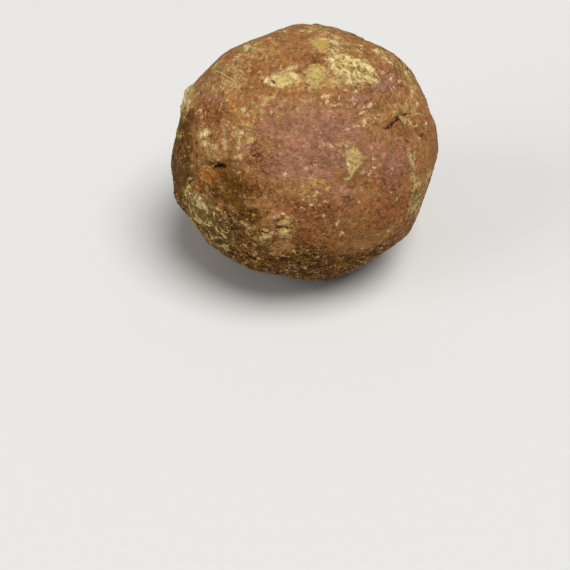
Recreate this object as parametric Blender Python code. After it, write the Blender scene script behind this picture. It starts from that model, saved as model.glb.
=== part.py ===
"""A hand-rolled lump of jaggery: one solid, set down on a small flat underneath.

The skin is worked out from directions out of the lump's middle. Each direction is carried to
an ellipsoid, then moved by slow ripples, by broad swells and hollows, by flat presses, by two
folds where the soft mass was lapped over, and by small relief: crusts, a flake, pits and a crack.
"""
import math

import bmesh
import bpy
import numpy as np

MM = 0.001

# Overall size of the round mass, before its swells and its foot
WIDTH = 92 * MM
DEPTH = 87 * MM
HEIGHT = 88 * MM
HALF = np.array((WIDTH, DEPTH, HEIGHT)) / 2
MEAN_RADIUS = HALF.mean()

# The flat that it rests on, and how softly the round side runs into it
FOOT_RADIUS = 14 * MM
FOOT_BLEND = 1.2 * MM
FOOT_DROP = HALF[2] * math.sqrt(1 - (FOOT_RADIUS / MEAN_RADIUS) ** 2) - FOOT_BLEND

# The eye that the marks in front are placed from: it looks down at the lump's middle
EYE_DISTANCE = 334 * MM
EYE_LIFT = math.radians(35)
FOCAL_PIXELS = 950
PICTURE_MIDDLE = 285
LUMP_COLUMN = 304.7
LUMP_ROW = 154.7

# Slow ripples of the rolled mass: length and height of the waves, in mm
RIPPLE_SEED = 11
WAVES_PER_RIPPLE = 14
RIPPLES = (
    (34, 0.30),
    (15, 0.14),
    (7.5, 0.07),
)

# Broad swells and hollows in front: column and row where each shows, rise and spread in mm
FRONT_SWELLS = {
    "knob on the left rim": (186, 94, 0.8, 3.0),
    "crown": (320, 24, -0.6, 7.0),
    "shoulder at the upper right": (394, 54, 2.0, 9.0),
    "bulge at the lower left": (180, 198, 1.9, 5.5),
    "cheek at the lower left": (211, 246, 0.7, 8.0),
    "finger hollow": (231, 185, -1.6, 5.2),
    "brow of the finger hollow": (214, 150, 0.7, 4.0),
}

# Broad swells and hollows behind: turn round from the front, lift, rise and spread in mm
HIND_SWELLS = {
    "shoulder behind": (205, 48, 1.2, 10.0),
    "left cheek behind": (238, 4, 1.0, 9.0),
    "right cheek behind": (106, -14, 0.6, 10.0),
    "hollow low behind": (196, -34, -1.1, 9.0),
}

# Presses, where the soft mass lay against something flat: column and row, and depth in mm
FRONT_PRESSES = {
    "flank at the upper left": (256, 33, 1.8),
    "shoulder at the upper left": (210, 60, 0.7),
    "dip beside the peak": (356, 33, 0.9),
    "left side": (174, 126, 1.1),
    "lower right": (431, 194, 2.1),
    "under the right side": (381, 258, 1.1),
    "under the left side": (282, 280, 1.1),
}

# Presses behind: turn round from the front, lift, and depth in mm
HIND_PRESSES = {
    "palm": (168, 18, 1.9),
    "thumb": (128, 38, 1.2),
    "left side behind": (244, -30, 1.3),
}
PRESS_BLEND = 1.3

# Folds: rows and columns down the lap, its crest and drop in mm, the side that lies lower
RIGHT_FOLD = ((148, 165, 185, 205, 225, 238), (409, 413, 412, 409, 403, 397), 0.35, 0.5, 1)
LEFT_FOLD = ((84, 104, 125, 150, 178, 200), (203, 200, 197, 196, 197, 193), 0.25, 0.55, -1)
FOLD_CREST = 2.6
FOLD_REACH = 15

# Crusts and flakes in front: column and row of the middle, half length and half width in
# pixels, slope in degrees down to the right, height in mm
FRONT_CRUSTS = {
    "cap crust": (349, 69, 31, 12, 20, 0.75),
    "grey crust beside the flake": (337, 49, 11, 7, 15, 0.3),
    "tan plate": (315, 77, 12, 11, 60, 0.45),
    "cream crust": (279, 79, 18, 7, -8, 0.5),
    "yellow flake": (349, 158, 19, 8, 80, 0.5),
    "crust on the left rim": (187, 99, 15, 5, 110, 0.45),
    "crust at the lower left": (211, 221, 33, 10, 52, 0.6),
    "lower crust": (281, 226, 13, 8, 60, 0.4),
    "green crust on the shoulder": (389, 57, 8, 4, 40, 0.3),
}
FLAKE_CORNERS = ((308.5, 40), (331, 37.5), (329, 55))
FLAKE_HEIGHT = 0.5
FLAKE_SIDE = 2.5

# How ragged the crusts are: lengths in mm of the ripples in their edges, and their shares of the
# half width; how far out of the middle a crust's side starts and ends
RAGGED = ((5.5, 0.12), (2.6, 0.08))
RAGGED_SEED = 19
CRUST_SIDE = (0.8, 1.1)

# Crusts behind: turn round from the front, lift, radius in mm, height in mm
HIND_CRUSTS = {
    "broad crust behind": (158, 52, 8.0, 0.6),
    "low crust behind": (214, -12, 6.5, 0.5),
    "crust on the right side": (82, 22, 5.0, 0.45),
    "crust on the left side": (277, 30, 6.0, 0.5),
}

# Marks in front end where the skin turns out of sight: how far toward the eye it faces there
RIM = (0.02, 0.12)

# Pits and cracks: corners of the line in columns and rows, depth in mm, half width in pixels
PIT_LINE = ((208.5, 163.5), (214, 165), (222, 166))
PIT_DEPTH = 2.2
PIT_HALF_WIDTH = 3.0
SMALL_PIT_LINE = ((309.5, 165), (312.5, 165.5))
SMALL_PIT_DEPTH = 0.5
SMALL_PIT_HALF_WIDTH = 2.6
CRACK_LEGS = (
    ((403, 114), (398, 116), (392, 122), (386, 128)),
    ((403, 114), (411, 118), (416, 127), (423, 138)),
)
CRACK_DEPTH = 0.8
CRACK_HALF_WIDTH = 2.0
CRACK_PLATE = (404, 125, 8, 8, 0, 0.4)

# How finely the skin is divided, and how far round a mark it is divided again
SKIN_SUBDIVISIONS = 5
FINE_REACH = 6.5 * MM
FINEST_REACH = 3.2 * MM
CAP_CRUST_STATIONS = (-0.8, -0.4, 0, 0.4, 0.8)

OBJECT_NAME = "jaggery_lump"
COLOR = (0.30, 0.125, 0.055, 1.0)
ROUGHNESS = 0.72


def unit(vectors):
    """Vectors made one long."""
    return vectors / np.linalg.norm(vectors, axis=-1, keepdims=True)


def eye_axes():
    """Right, up and ahead of the eye, turned so that the lump's middle shows at its own pixel."""
    x = (LUMP_COLUMN - PICTURE_MIDDLE) / FOCAL_PIXELS
    y = (PICTURE_MIDDLE - LUMP_ROW) / FOCAL_PIXELS
    reach = math.sqrt(1 + x * x + y * y)
    pitch = math.atan(y) + math.asin(reach * math.sin(EYE_LIFT) / math.sqrt(1 + y * y))
    yaw = math.asin(x / (reach * math.cos(EYE_LIFT)))
    level = np.array((-math.sin(yaw), math.cos(yaw), 0.0))
    right = np.array((math.cos(yaw), math.sin(yaw), 0.0))
    ahead = level * math.cos(pitch) - np.array((0.0, 0.0, math.sin(pitch)))
    return right, np.cross(right, ahead), ahead


def eye_place():
    """Where the eye is, out from the lump's middle along the line of sight."""
    return EYE_DISTANCE * np.array((0.0, -math.cos(EYE_LIFT), math.sin(EYE_LIFT)))


def shown_at(points):
    """Columns and rows at which points show."""
    right, up, ahead = eye_axes()
    out = points - eye_place()
    away = out @ ahead
    columns = PICTURE_MIDDLE + FOCAL_PIXELS * (out @ right) / away
    rows = PICTURE_MIDDLE - FOCAL_PIXELS * (out @ up) / away
    return columns, rows


def seen(column, row):
    """Direction of the place that shows at a pixel, or of the rim nearest to it."""
    right, up, ahead = eye_axes()
    ray = ahead + right * (column - PICTURE_MIDDLE) / FOCAL_PIXELS
    ray = (ray + up * (PICTURE_MIDDLE - row) / FOCAL_PIXELS) / HALF
    start = eye_place() / HALF
    nearest = -(start @ ray) / (ray @ ray)
    miss = start + nearest * ray
    back = math.sqrt(max(0.0, 1 - miss @ miss) / (ray @ ray))
    return unit(miss - back * ray)


def facing(turn, lift):
    """Direction by its turn round from the front, seen from above, and its lift, in degrees."""
    turn = math.radians(turn)
    lift = math.radians(lift)
    level = math.cos(lift)
    return np.array((level * math.sin(turn), -level * math.cos(turn), math.sin(lift)))


def arc(directions, middle):
    """Distance over the skin from a middle, in mm."""
    return MEAN_RADIUS / MM * np.arccos(np.clip(directions @ middle, -1, 1))


def ripple(points, length, seed):
    """Sum of plane waves of one length, with seeded directions and phases, about one high."""
    draw = np.random.default_rng(seed)
    across = unit(draw.normal(size=(WAVES_PER_RIPPLE, 3)))
    phases = draw.uniform(0, 2 * math.pi, WAVES_PER_RIPPLE)
    waves = np.sin(points @ across.T * (2 * math.pi / (length * MM)) + phases)
    return waves.sum(axis=1) * math.sqrt(2 / WAVES_PER_RIPPLE)


def step(values, low, high):
    """Smooth step from 0 at low to 1 at high."""
    t = np.clip((values - low) / (high - low), 0, 1)
    return t * t * (3 - 2 * t)


def swells(directions):
    """Rise of the broad swells and hollows, in mm: a bell over the skin for each."""
    rise = np.zeros(len(directions))
    places = [(seen(column, row), height, spread) for column, row, height, spread in FRONT_SWELLS.values()]
    places += [(facing(turn, lift), height, spread) for turn, lift, height, spread in HIND_SWELLS.values()]
    for middle, height, spread in places:
        rise += height * np.exp(-(arc(directions, middle) / spread) ** 2)
    return rise


def fold(columns, rows, course):
    """Rise of a fold, in mm: a crest down its course, and the lower side behind it."""
    course_rows, course_columns, crest, drop, side = course
    beyond = side * (columns - np.interp(rows, course_rows, course_columns))
    along = step(rows, course_rows[0], course_rows[1]) * (1 - step(rows, course_rows[-2], course_rows[-1]))
    lower = step(beyond, 0, FOLD_CREST) * np.exp(-(np.maximum(beyond, 0) / FOLD_REACH) ** 2)
    return along * (crest * np.exp(-(beyond / FOLD_CREST) ** 2) - drop * lower)


def crust(columns, rows, patch, edge):
    """Rise of a crust, in mm: a plate with a steep, ragged edge."""
    column, row, half_length, half_width, slope, height = patch
    turn = math.radians(slope)
    across = (columns - column) * math.cos(turn) + (rows - row) * math.sin(turn)
    down = (rows - row) * math.cos(turn) - (columns - column) * math.sin(turn)
    out = np.hypot(across / half_length, down / half_width) + edge
    return height * (1 - step(out, *CRUST_SIDE))


def flake(columns, rows, corners):
    """Rise of a flake, in mm: flat inside its corners, given in turn, and steep at its sides."""
    inside = np.full(len(columns), np.inf)
    for (x0, y0), (x1, y1) in zip(corners, corners[1:] + corners[:1]):
        side = (rows - y0) * (x1 - x0) - (columns - x0) * (y1 - y0)
        inside = np.minimum(inside, side / math.hypot(x1 - x0, y1 - y0))
    return FLAKE_HEIGHT * step(inside, 0, FLAKE_SIDE)


def groove(columns, rows, line, half_width):
    """How deep a groove cuts, from 0 to 1: a bell across the line through its corners."""
    cut = np.zeros(len(columns))
    for (x0, y0), (x1, y1) in zip(line, line[1:]):
        run = np.array((x1 - x0, y1 - y0))
        along = ((columns - x0) * run[0] + (rows - y0) * run[1]) / (run @ run)
        along = np.clip(along, 0, 1)
        away = np.hypot(columns - x0 - along * run[0], rows - y0 - along * run[1])
        cut = np.maximum(cut, np.exp(-(away / half_width) ** 2))
    return cut


def relief(directions, points):
    """Rise of the marks, in mm: those in front by where they show, those behind by direction."""
    columns, rows = shown_at(points)
    edge = sum(share * ripple(points, length, RAGGED_SEED) for length, share in RAGGED)
    rise = fold(columns, rows, RIGHT_FOLD) + fold(columns, rows, LEFT_FOLD)
    for patch in FRONT_CRUSTS.values():
        rise += crust(columns, rows, patch, edge)
    rise += flake(columns, rows, FLAKE_CORNERS)
    rise += crust(columns, rows, CRACK_PLATE, 0)
    rise -= PIT_DEPTH * groove(columns, rows, PIT_LINE, PIT_HALF_WIDTH)
    rise -= SMALL_PIT_DEPTH * groove(columns, rows, SMALL_PIT_LINE, SMALL_PIT_HALF_WIDTH)
    cracks = [groove(columns, rows, leg, CRACK_HALF_WIDTH) for leg in CRACK_LEGS]
    rise -= CRACK_DEPTH * np.maximum(*cracks)
    rise *= step(directions @ unit(eye_place()), *RIM)
    for turn, lift, radius, height in HIND_CRUSTS.values():
        out = arc(directions, facing(turn, lift)) / radius + edge
        rise += height * (1 - step(out, *CRUST_SIDE))
    return rise


def laid_flat(depths, blend):
    """Depths behind a plane with all that stood before it laid flat, run in by a parabola."""
    bend = np.clip(depths, -blend, blend)
    return np.where(depths > blend, depths, (bend + blend) ** 2 / (4 * blend))


def pressed(points, middle, depth):
    """Points with the side round a middle pressed flat to a depth in mm."""
    normal = unit(middle / HALF)
    plane = (middle * HALF) @ normal - depth * MM
    depths = plane - points @ normal
    return points + (depths - laid_flat(depths, PRESS_BLEND * MM))[:, None] * normal


def skin(directions):
    """Points of the skin for directions out of the middle, standing on the foot at height 0."""
    rise = swells(directions)
    for index, (length, height) in enumerate(RIPPLES):
        rise += height * ripple(directions * HALF, length, RIPPLE_SEED + index)
    points = directions * (HALF + (rise * MM)[:, None])
    for column, row, depth in FRONT_PRESSES.values():
        points = pressed(points, seen(column, row), depth)
    for turn, lift, depth in HIND_PRESSES.values():
        points = pressed(points, facing(turn, lift), depth)
    points = points + directions * (relief(directions, points) * MM)[:, None]
    points[:, 2] = laid_flat(points[:, 2] + FOOT_DROP, FOOT_BLEND)
    return points


def refine(mesh, middles, reach):
    """Divide again the skin's triangles that lie within reach of any of the middles."""
    angle = reach / MEAN_RADIUS
    near = np.array([vertex.co for vertex in mesh.verts]) @ np.array(middles).T > math.cos(angle)
    chosen = near.any(axis=1)
    mesh.verts.ensure_lookup_table()
    edges = [edge for edge in mesh.edges if chosen[edge.verts[0].index] or chosen[edge.verts[1].index]]
    bmesh.ops.subdivide_edges(mesh, edges=edges, cuts=1, use_grid_fill=True)
    bmesh.ops.triangulate(mesh, faces=[face for face in mesh.faces if len(face.verts) > 3])
    for vertex in mesh.verts:
        vertex.co.normalize()
    mesh.verts.index_update()


def mark_middles():
    """Directions to divide the skin round: finely round the crusts, finest round the sharp marks."""
    crusts = [seen(patch[0], patch[1]) for patch in FRONT_CRUSTS.values()]
    crusts += [facing(turn, lift) for turn, lift, radius, height in HIND_CRUSTS.values()]
    crusts += [seen(column, row) for row, column in zip(RIGHT_FOLD[0], RIGHT_FOLD[1])]
    sharp = [seen(column, row) for leg in CRACK_LEGS for column, row in leg]
    sharp += [seen(column, row) for column, row in PIT_LINE + FLAKE_CORNERS + SMALL_PIT_LINE]
    column, row, half_length, half_width, slope, height = FRONT_CRUSTS["cap crust"]
    turn = math.radians(slope)
    for station in CAP_CRUST_STATIONS:
        along = station * half_length
        sharp.append(seen(column + along * math.cos(turn), row + along * math.sin(turn)))
    return crusts + sharp, sharp


def build_skin():
    """The lump's mesh: a geodesic ball, divided again near its marks, carried to the skin."""
    mesh = bmesh.new()
    bmesh.ops.create_icosphere(mesh, subdivisions=SKIN_SUBDIVISIONS, radius=1)
    marks, sharp = mark_middles()
    refine(mesh, marks, FINE_REACH)
    refine(mesh, sharp, FINEST_REACH)
    directions = np.array([vertex.co for vertex in mesh.verts])
    points = skin(directions)
    low = points.min(axis=0)
    high = points.max(axis=0)
    points -= ((low[0] + high[0]) / 2, (low[1] + high[1]) / 2, low[2])
    for vertex, point in zip(mesh.verts, points):
        vertex.co = point
    return mesh


def jaggery():
    """Dull red-brown set sugar."""
    material = bpy.data.materials.new("jaggery")
    material.use_nodes = True
    shader = material.node_tree.nodes["Principled BSDF"]
    shader.inputs["Base Color"].default_value = COLOR
    shader.inputs["Roughness"].default_value = ROUGHNESS
    shader.inputs["Metallic"].default_value = 0.0
    return material


def main():
    for thing in list(bpy.data.objects):
        bpy.data.objects.remove(thing)
    body = bpy.data.meshes.new(OBJECT_NAME)
    skin_mesh = build_skin()
    skin_mesh.to_mesh(body)
    skin_mesh.free()
    body.materials.append(jaggery())
    body.shade_smooth()
    bpy.context.scene.collection.objects.link(bpy.data.objects.new(OBJECT_NAME, body))


if __name__ == "__main__":
    main()
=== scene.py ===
"""A hand-rolled lump of jaggery: its skin, crusts, flakes, grains, crumbs and straw fibres.

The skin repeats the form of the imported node, at a finer scale: directions out of the lump's
middle are carried to an ellipsoid and moved by ripples, swells, presses, folds and marks.
Marks in front are placed by the column and row, in pixels, at which they show.
"""
import math

import bpy
import numpy as np
from mathutils import Matrix, Vector


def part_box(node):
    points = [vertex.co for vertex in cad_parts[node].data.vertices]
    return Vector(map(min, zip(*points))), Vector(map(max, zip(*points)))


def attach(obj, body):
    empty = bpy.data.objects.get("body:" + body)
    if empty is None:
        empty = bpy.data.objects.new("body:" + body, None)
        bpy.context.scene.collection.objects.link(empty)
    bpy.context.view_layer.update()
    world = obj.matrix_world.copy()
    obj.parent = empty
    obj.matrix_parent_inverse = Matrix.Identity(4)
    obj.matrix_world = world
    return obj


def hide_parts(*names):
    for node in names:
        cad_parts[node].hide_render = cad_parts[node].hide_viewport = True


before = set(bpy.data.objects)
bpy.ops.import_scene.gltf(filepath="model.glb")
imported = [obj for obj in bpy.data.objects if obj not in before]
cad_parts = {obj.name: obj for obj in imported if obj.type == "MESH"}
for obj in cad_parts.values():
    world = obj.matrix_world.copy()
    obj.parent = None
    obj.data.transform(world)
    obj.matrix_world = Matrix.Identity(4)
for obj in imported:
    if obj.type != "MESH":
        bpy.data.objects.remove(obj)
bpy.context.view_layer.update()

bl_info = {
    "name": "Jaggery lump",
    "version": (1, 0, 0),
    "blender": (4, 5, 0),
    "location": "3D View > Sidebar > Jaggery",
    "description": "Makes a hand-rolled lump of jaggery with its crusts, flakes, grains and fibres",
    "category": "Add Mesh",
}

MM = 0.001
NODE = "jaggery_lump"
BODY = "root"
NODE_LOW, NODE_HIGH = (np.array(corner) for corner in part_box(NODE))

# Overall size of the round mass, before its swells and its foot
WIDTH = 92 * MM
DEPTH = 87 * MM
HEIGHT = 88 * MM
HALF = np.array((WIDTH, DEPTH, HEIGHT)) / 2
MEAN_RADIUS = HALF.mean()
FOOT_RADIUS = 14 * MM
FOOT_BLEND = 1.2 * MM
FOOT_DROP = HALF[2] * math.sqrt(1 - (FOOT_RADIUS / MEAN_RADIUS) ** 2) - FOOT_BLEND

# The eye: it looks down at the lump's middle, which shows at LUMP_COLUMN and LUMP_ROW
PICTURE_PIXELS = 570
PICTURE_MIDDLE = PICTURE_PIXELS / 2
SENSOR_MM = 36
EYE_DISTANCE = 334 * MM
EYE_LIFT = math.radians(35)
FOCAL_PIXELS = 950
LUMP_COLUMN = 304.7
LUMP_ROW = 154.7

# Slow ripples of the rolled mass: length and height of the waves, in mm
RIPPLE_SEED = 11
WAVES_PER_RIPPLE = 14
RIPPLES = (
    (34, 0.30),
    (15, 0.14),
    (7.5, 0.07),
)

# Broad swells and hollows in front: column and row where each shows, rise and spread in mm
FRONT_SWELLS = {
    "knob on the left rim": (186, 94, 0.8, 3.0),
    "crown": (320, 24, -0.6, 7.0),
    "shoulder at the upper right": (394, 54, 2.0, 9.0),
    "bulge at the lower left": (180, 198, 1.9, 5.5),
    "cheek at the lower left": (211, 246, 0.7, 8.0),
    "finger hollow": (231, 185, -1.6, 5.2),
    "brow of the finger hollow": (214, 150, 0.7, 4.0),
}

# Broad swells and hollows behind: turn round from the front, lift, rise and spread in mm
HIND_SWELLS = {
    "shoulder behind": (205, 48, 1.2, 10.0),
    "left cheek behind": (238, 4, 1.0, 9.0),
    "right cheek behind": (106, -14, 0.6, 10.0),
    "hollow low behind": (196, -34, -1.1, 9.0),
}

# Presses, where the soft mass lay against something flat: column and row, and depth in mm
FRONT_PRESSES = {
    "flank at the upper left": (256, 33, 1.8),
    "shoulder at the upper left": (210, 60, 0.7),
    "dip beside the peak": (356, 33, 0.9),
    "left side": (174, 126, 1.1),
    "lower right": (431, 194, 2.1),
    "under the right side": (381, 258, 1.1),
    "under the left side": (282, 280, 1.1),
}

# Presses behind: turn round from the front, lift, and depth in mm
HIND_PRESSES = {
    "palm": (168, 18, 1.9),
    "thumb": (128, 38, 1.2),
    "left side behind": (244, -30, 1.3),
}
PRESS_BLEND = 1.3

# Folds: rows and columns down the lap, its crest and drop in mm, the side that lies lower
RIGHT_FOLD = ((148, 165, 185, 205, 225, 238), (409, 413, 412, 409, 403, 397), 0.35, 0.5, 1)
LEFT_FOLD = ((84, 104, 125, 150, 178, 200), (203, 200, 197, 196, 197, 193), 0.25, 0.55, -1)
FOLD_CREST = 2.6
FOLD_REACH = 15

# Crusts in front: column and row of the middle, half length and half width in pixels, slope in
# degrees down to the right, height in mm
CREAM_CRUSTS = {
    "cap crust": (352, 70.5, 28, 12, 22, 0.75),
    "upper right of the cap crust": (362, 66, 11, 6.5, 35, 0.3),
    "rim of the cap crust": (347, 81, 15, 2.6, 24, 0.3),
    "end of that rim": (368, 84, 9, 2.2, -4, 0.3),
    "top edge of the flake": (321, 39.5, 11, 1.2, -3, 0),
    "cream crust": (284, 79, 14, 8.5, -12, 0.5),
    "left end of the cream crust": (268, 81, 6, 3, 10, 0.35),
    "upper end of the cream crust": (291, 70, 6, 3, -20, 0.35),
    "crust on the left rim": (185, 98, 15, 5.4, 107, 0.45),
    "top of the line down the right fold": (411, 162, 12, 1.7, 82, 0.15),
    "line down the right fold": (413.5, 184, 13, 1.6, 92, 0.15),
    "foot of the line down the right fold": (408, 213, 16, 1.3, 102, 0.15),
    "blot over the finger hollow": (205, 134, 6, 3.8, -25, 0.3),
    "blot below it": (204, 144, 3, 3, 0, 0.2),
    "ridge of the crack": (408, 121.5, 7, 0.9, 38, 0.1),
    "chain above the pit": (225.5, 139, 11, 1.6, 88, 0.15),
    "left edge of the yellow flake": (346, 161, 10, 1.7, 85, 0.1),
    "tail of the yellow flake": (349, 177, 5.5, 2.2, -52, 0.3),
    "top of the lower crust": (277.5, 216, 5, 1.7, -30, 0.3),
    "edge of the lower crust": (286, 225.5, 4, 1.5, 10, 0.2),
    "rim at the lower crust's foot": (286, 235.5, 4.5, 1.6, -15, 0.2),
    "rim of the left crumb": (267, 238, 4, 1.4, -25, 0.2),
    "streak left of the lower crust": (243, 223.5, 10, 1.6, 21, 0.2),
}
TAN_CRUSTS = {
    "tan plate": (316, 77, 12, 10.5, 70, 0.45),
    "tan run beside the plate": (334, 82, 10, 2.2, 14, 0.12),
    "yellow flake": (353, 156, 11, 8.5, 50, 0.5),
    "point of the yellow flake": (360, 157, 6, 2.8, 8, 0.3),
    "foot of the yellow flake": (350.5, 168, 7, 5, 90, 0.5),
    "branch of the yellow flake": (334, 150, 13, 1.0, 33, 0.12),
    "tan run at the left": (269, 101, 8, 2, -45, 0.1),
    "tan stain below it": (250, 141, 3, 3, 0, 0.15),
    "tan stain at the brow": (213, 147, 5, 3.4, -30, 0.15),
    "tan spot": (241, 157, 2.6, 3, 0, 0.15),
    "chain beside the pit": (238, 145, 12, 1.6, 85, 0.1),
    "lower crust": (285, 223, 6, 2.8, -15, 0.4),
    "upper crumb of the lower crust": (287, 218.5, 3.6, 1.5, 10, 0.3),
    "foot of the lower crust": (284.5, 232, 5.5, 3.4, 10, 0.4),
    "crumb left of the lower crust": (266.5, 236, 5, 2.2, -30, 0.3),
    "crumb over that one": (264.5, 230.5, 3, 1.4, 20, 0.2),
    "lip of the crack": (403.5, 118.5, 4, 2.2, 60, 0.25),
    "ridge right of the crack": (412, 125, 7.5, 1.4, 36, 0.2),
}
GREEN_CRUSTS = {
    "dust round the rim crust": (186, 101, 18, 5.8, 108, 0.1),
    "grey crust beside the flake": (334, 43, 7, 4, 0, 0.2),
    "foot of that crust": (334, 51, 6.5, 4.5, 30, 0.2),
    "end of that crust": (346, 47, 7, 3, 20, 0.15),
    "green crust on the shoulder": (387, 57.5, 4.5, 2.8, 20, 0.25),
    "green spots on the shoulder": (377, 51.5, 3.5, 2.4, 30, 0.2),
    "lower green spot": (392, 63, 3.5, 2.2, 40, 0.2),
    "crust at the lower left": (211, 222, 33, 12, 52, 0.55),
    "upper end of that crust": (189, 197, 14, 6, 70, 0.3),
    "green spot on the left rim": (180, 133, 4.5, 3, 90, 0.3),
    "dust at the upper left": (247, 48, 9, 4.5, -30, 0.1),
    "dust on the upper left rim": (219, 67, 7, 3.2, -10, 0.1),
    "crust down the right fold": (413, 178, 26, 1.5, 93, 0.2),
    "crust beyond the right fold": (416, 207, 14, 3, 105, 0.25),
    "pale line on the far right": (429, 175, 5, 1, -62, 0.2),
}

# Smooth yellow middles of those crusts, without a height of their own
YELLOW_CORES = {
    "middle of the cream crust": (285, 79, 10, 5, -12),
    "middle of the yellow flake": (353, 157, 8, 5, 60),
    "low in the yellow flake": (351, 168, 4.5, 3, 90),
    "middle of the tan plate": (317, 77, 8, 6.5, 70),
}

# The yellow flake at the top: its corners in columns and rows, height in mm, width of its side in pixels
FLAKE_CORNERS = (
    (309, 42), (313, 39.5), (321.5, 38), (331, 38.5),
    (329.5, 44), (326.5, 54), (319, 51.5), (314, 46.5),
)
FLAKE_HEIGHT = 0.5
FLAKE_SIDE = 2.5

# How ragged the crusts are: lengths in mm of the ripples in their edges, and their shares of the
# half width; how far out of the middle a crust's side starts and ends
RAGGED = ((5.5, 0.12), (2.6, 0.08))
RAGGED_SEED = 19
CRUST_SIDE = (0.8, 1.1)

# Crusts behind: turn round from the front, lift, radius in mm, height in mm
HIND_CREAM = {
    "broad crust behind": (158, 52, 8.0, 0.6),
    "crust on the right side": (82, 22, 5.0, 0.45),
}
HIND_GREEN = {
    "low crust behind": (214, -12, 6.5, 0.5),
    "crust on the left side": (277, 30, 6.0, 0.5),
}

# Marks in front end where the skin turns out of sight: how far toward the eye it faces there
RIM = (0.02, 0.12)

# Pits and cracks: corners of the line in columns and rows, depth in mm, half width in pixels
PIT_LINE = ((208.5, 163.5), (214, 165), (222, 166))
PIT_DEPTH = 2.2
PIT_HALF_WIDTH = 3.0
SMALL_PIT_LINE = ((309.5, 165), (312.5, 165.5))
SMALL_PIT_DEPTH = 0.5
SMALL_PIT_HALF_WIDTH = 2.6
CRACK_LEGS = (
    ((403, 114), (398, 116), (392, 122), (386, 128)),
    ((403, 114), (411, 118), (416, 127), (423, 138)),
)
CRACK_DEPTH = 0.9
CRACK_HALF_WIDTH = 1.6
CRACK_PLATE = (404, 125, 8, 8, 0, 0.4)

# Thin dark lines and specks, painted shade inside pits, cracks, slits and gaps: corners of the line,
# half width in pixels
DARK_LINES = {
    "left end of the pit": (((208, 164), (214, 165)), 0.5),
    "pit": (((214, 165), (217, 166), (222, 165.5)), 1.6),
    "small pit": (((309, 165), (312, 165.5)), 0.5),
    "head of the crack": (((397.5, 115), (398.5, 119)), 2.1),
    "left leg of the crack": (((398, 118), (393.5, 123), (387.5, 129)), 1.3),
    "top of the crack": (((396.5, 114.5), (400, 113.8), (411.5, 114.2)), 0.7),
    "gap beside the crack's ridge": (((406, 116), (410, 120), (418, 126)), 0.1),
    "right leg of the crack": (((417, 127.5), (420.5, 133), (423.5, 138.5)), 0.9),
    "crease toward the hollow": (((255, 164.5), (261, 165), (266.5, 167)), 0.2),
    "slit beside the small pit": (((260, 170), (266.5, 174), (276, 179)), 0.4),
    "gap under the cream crust": (((276, 82.5), (278, 84)), 0.8),
    "gap beside the tan plate": (((303, 83), (309, 84)), 0.6),
    "hole in the flake": (((325, 49), (326, 49)), 0.5),
    "slit in the lower crust": (((275, 220.5), (280, 220.5), (283, 219.5)), 0.9),
    "slit under the lower crust": (((278.5, 227.5), (283, 228.5), (289, 227.5)), 0.7),
    "slit left of its foot": (((277.5, 230), (278, 235)), 0.7),
    "slit in the left crumbs": (((262, 233), (268, 232.5)), 0.5),
    "crease of the left fold": (((202, 90), (198.5, 104), (197, 125), (197, 150), (198, 176)), 0.1),
    "slit under the flake's tail": (((351, 186), (353, 186)), 0.8),
}

# Brown pores of the cap crust: corners of the line, half width in pixels
CRUST_PORES = {
    "pore at the left": (((335, 65), (339, 68)), 2.0),
    "pore in the middle": (((349, 69), (354, 71), (352, 75)), 1.6),
    "darkest pore": (((350, 77.5), (351, 80)), 1.5),
    "pore right of it": (((359, 71), (362, 74)), 1.8),
    "pore at the right": (((370, 75.5), (374, 78)), 1.8),
    "lower pore": (((361, 79), (365, 81)), 1.2),
    "pore at the top": (((345, 61), (350, 62)), 0.8),
}

# Soft zones of colour: column and row, half length and half width in pixels, slope, strength
# Dark zones are partly the sugar's darker tone and partly painted shade: round the finger hollow, the pit and
# the crack, along the bottom edge and on the rim at the upper left
DARK_ZONES = (
    (230, 187, 34, 24, 30, 0.9), (218, 166, 16, 8, 5, 0.9), (210, 180, 19, 20, 0, 0.9),
    (240, 232, 46, 24, 33, 0.95), (268, 172, 12, 4, 20, 0.4), (292, 226, 26, 9, 8, 0.5),
    (207, 62, 30, 3, -45, 0.4), (395, 122, 10, 5, -50, 0.35), (300, 265, 60, 12, 0, 0.5),
    (407, 84, 26, 9, 66, 0.15), (249, 215, 18, 12, 25, 1.1), (252, 238, 18, 9, 20, 0.6),
    (262, 156, 15, 11, 0, 0.35),
)
RED_ZONES = (
    (385, 208, 46, 30, 0, 0.9), (215, 113, 20, 14, 10, 0.9), (252, 71, 16, 8, 10, 0.7),
    (303, 214, 42, 14, 0, 0.9), (404, 142, 20, 16, 0, 0.6), (310, 60, 16, 7, 0, 0.8),
    (345, 118, 22, 12, 0, 0.4), (395, 85, 16, 20, 60, 0.5), (216, 142, 14, 10, 0, 0.6),
    (306, 236, 22, 9, 0, 0.9), (222, 198, 16, 8, 20, 0.5), (260, 190, 18, 12, 0, 0.6),
    (262, 156, 16, 12, 0, 0.6), (310, 186, 22, 12, 0, 0.4),
)
MAUVE_ZONES = (
    (322, 138, 75, 44, 5, 1.0), (356, 99, 22, 10, 0, 0.8), (281, 103, 10, 7, 0, 0.8),
    (252, 150, 24, 20, 20, 0.55), (298, 166, 46, 30, 0, 0.9), (345, 192, 26, 14, 0, 0.7),
    (386, 158, 34, 34, 0, 0.7), (212, 97, 12, 6, 0, 0.8), (385, 85, 20, 20, 0, 0.7),
)
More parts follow.
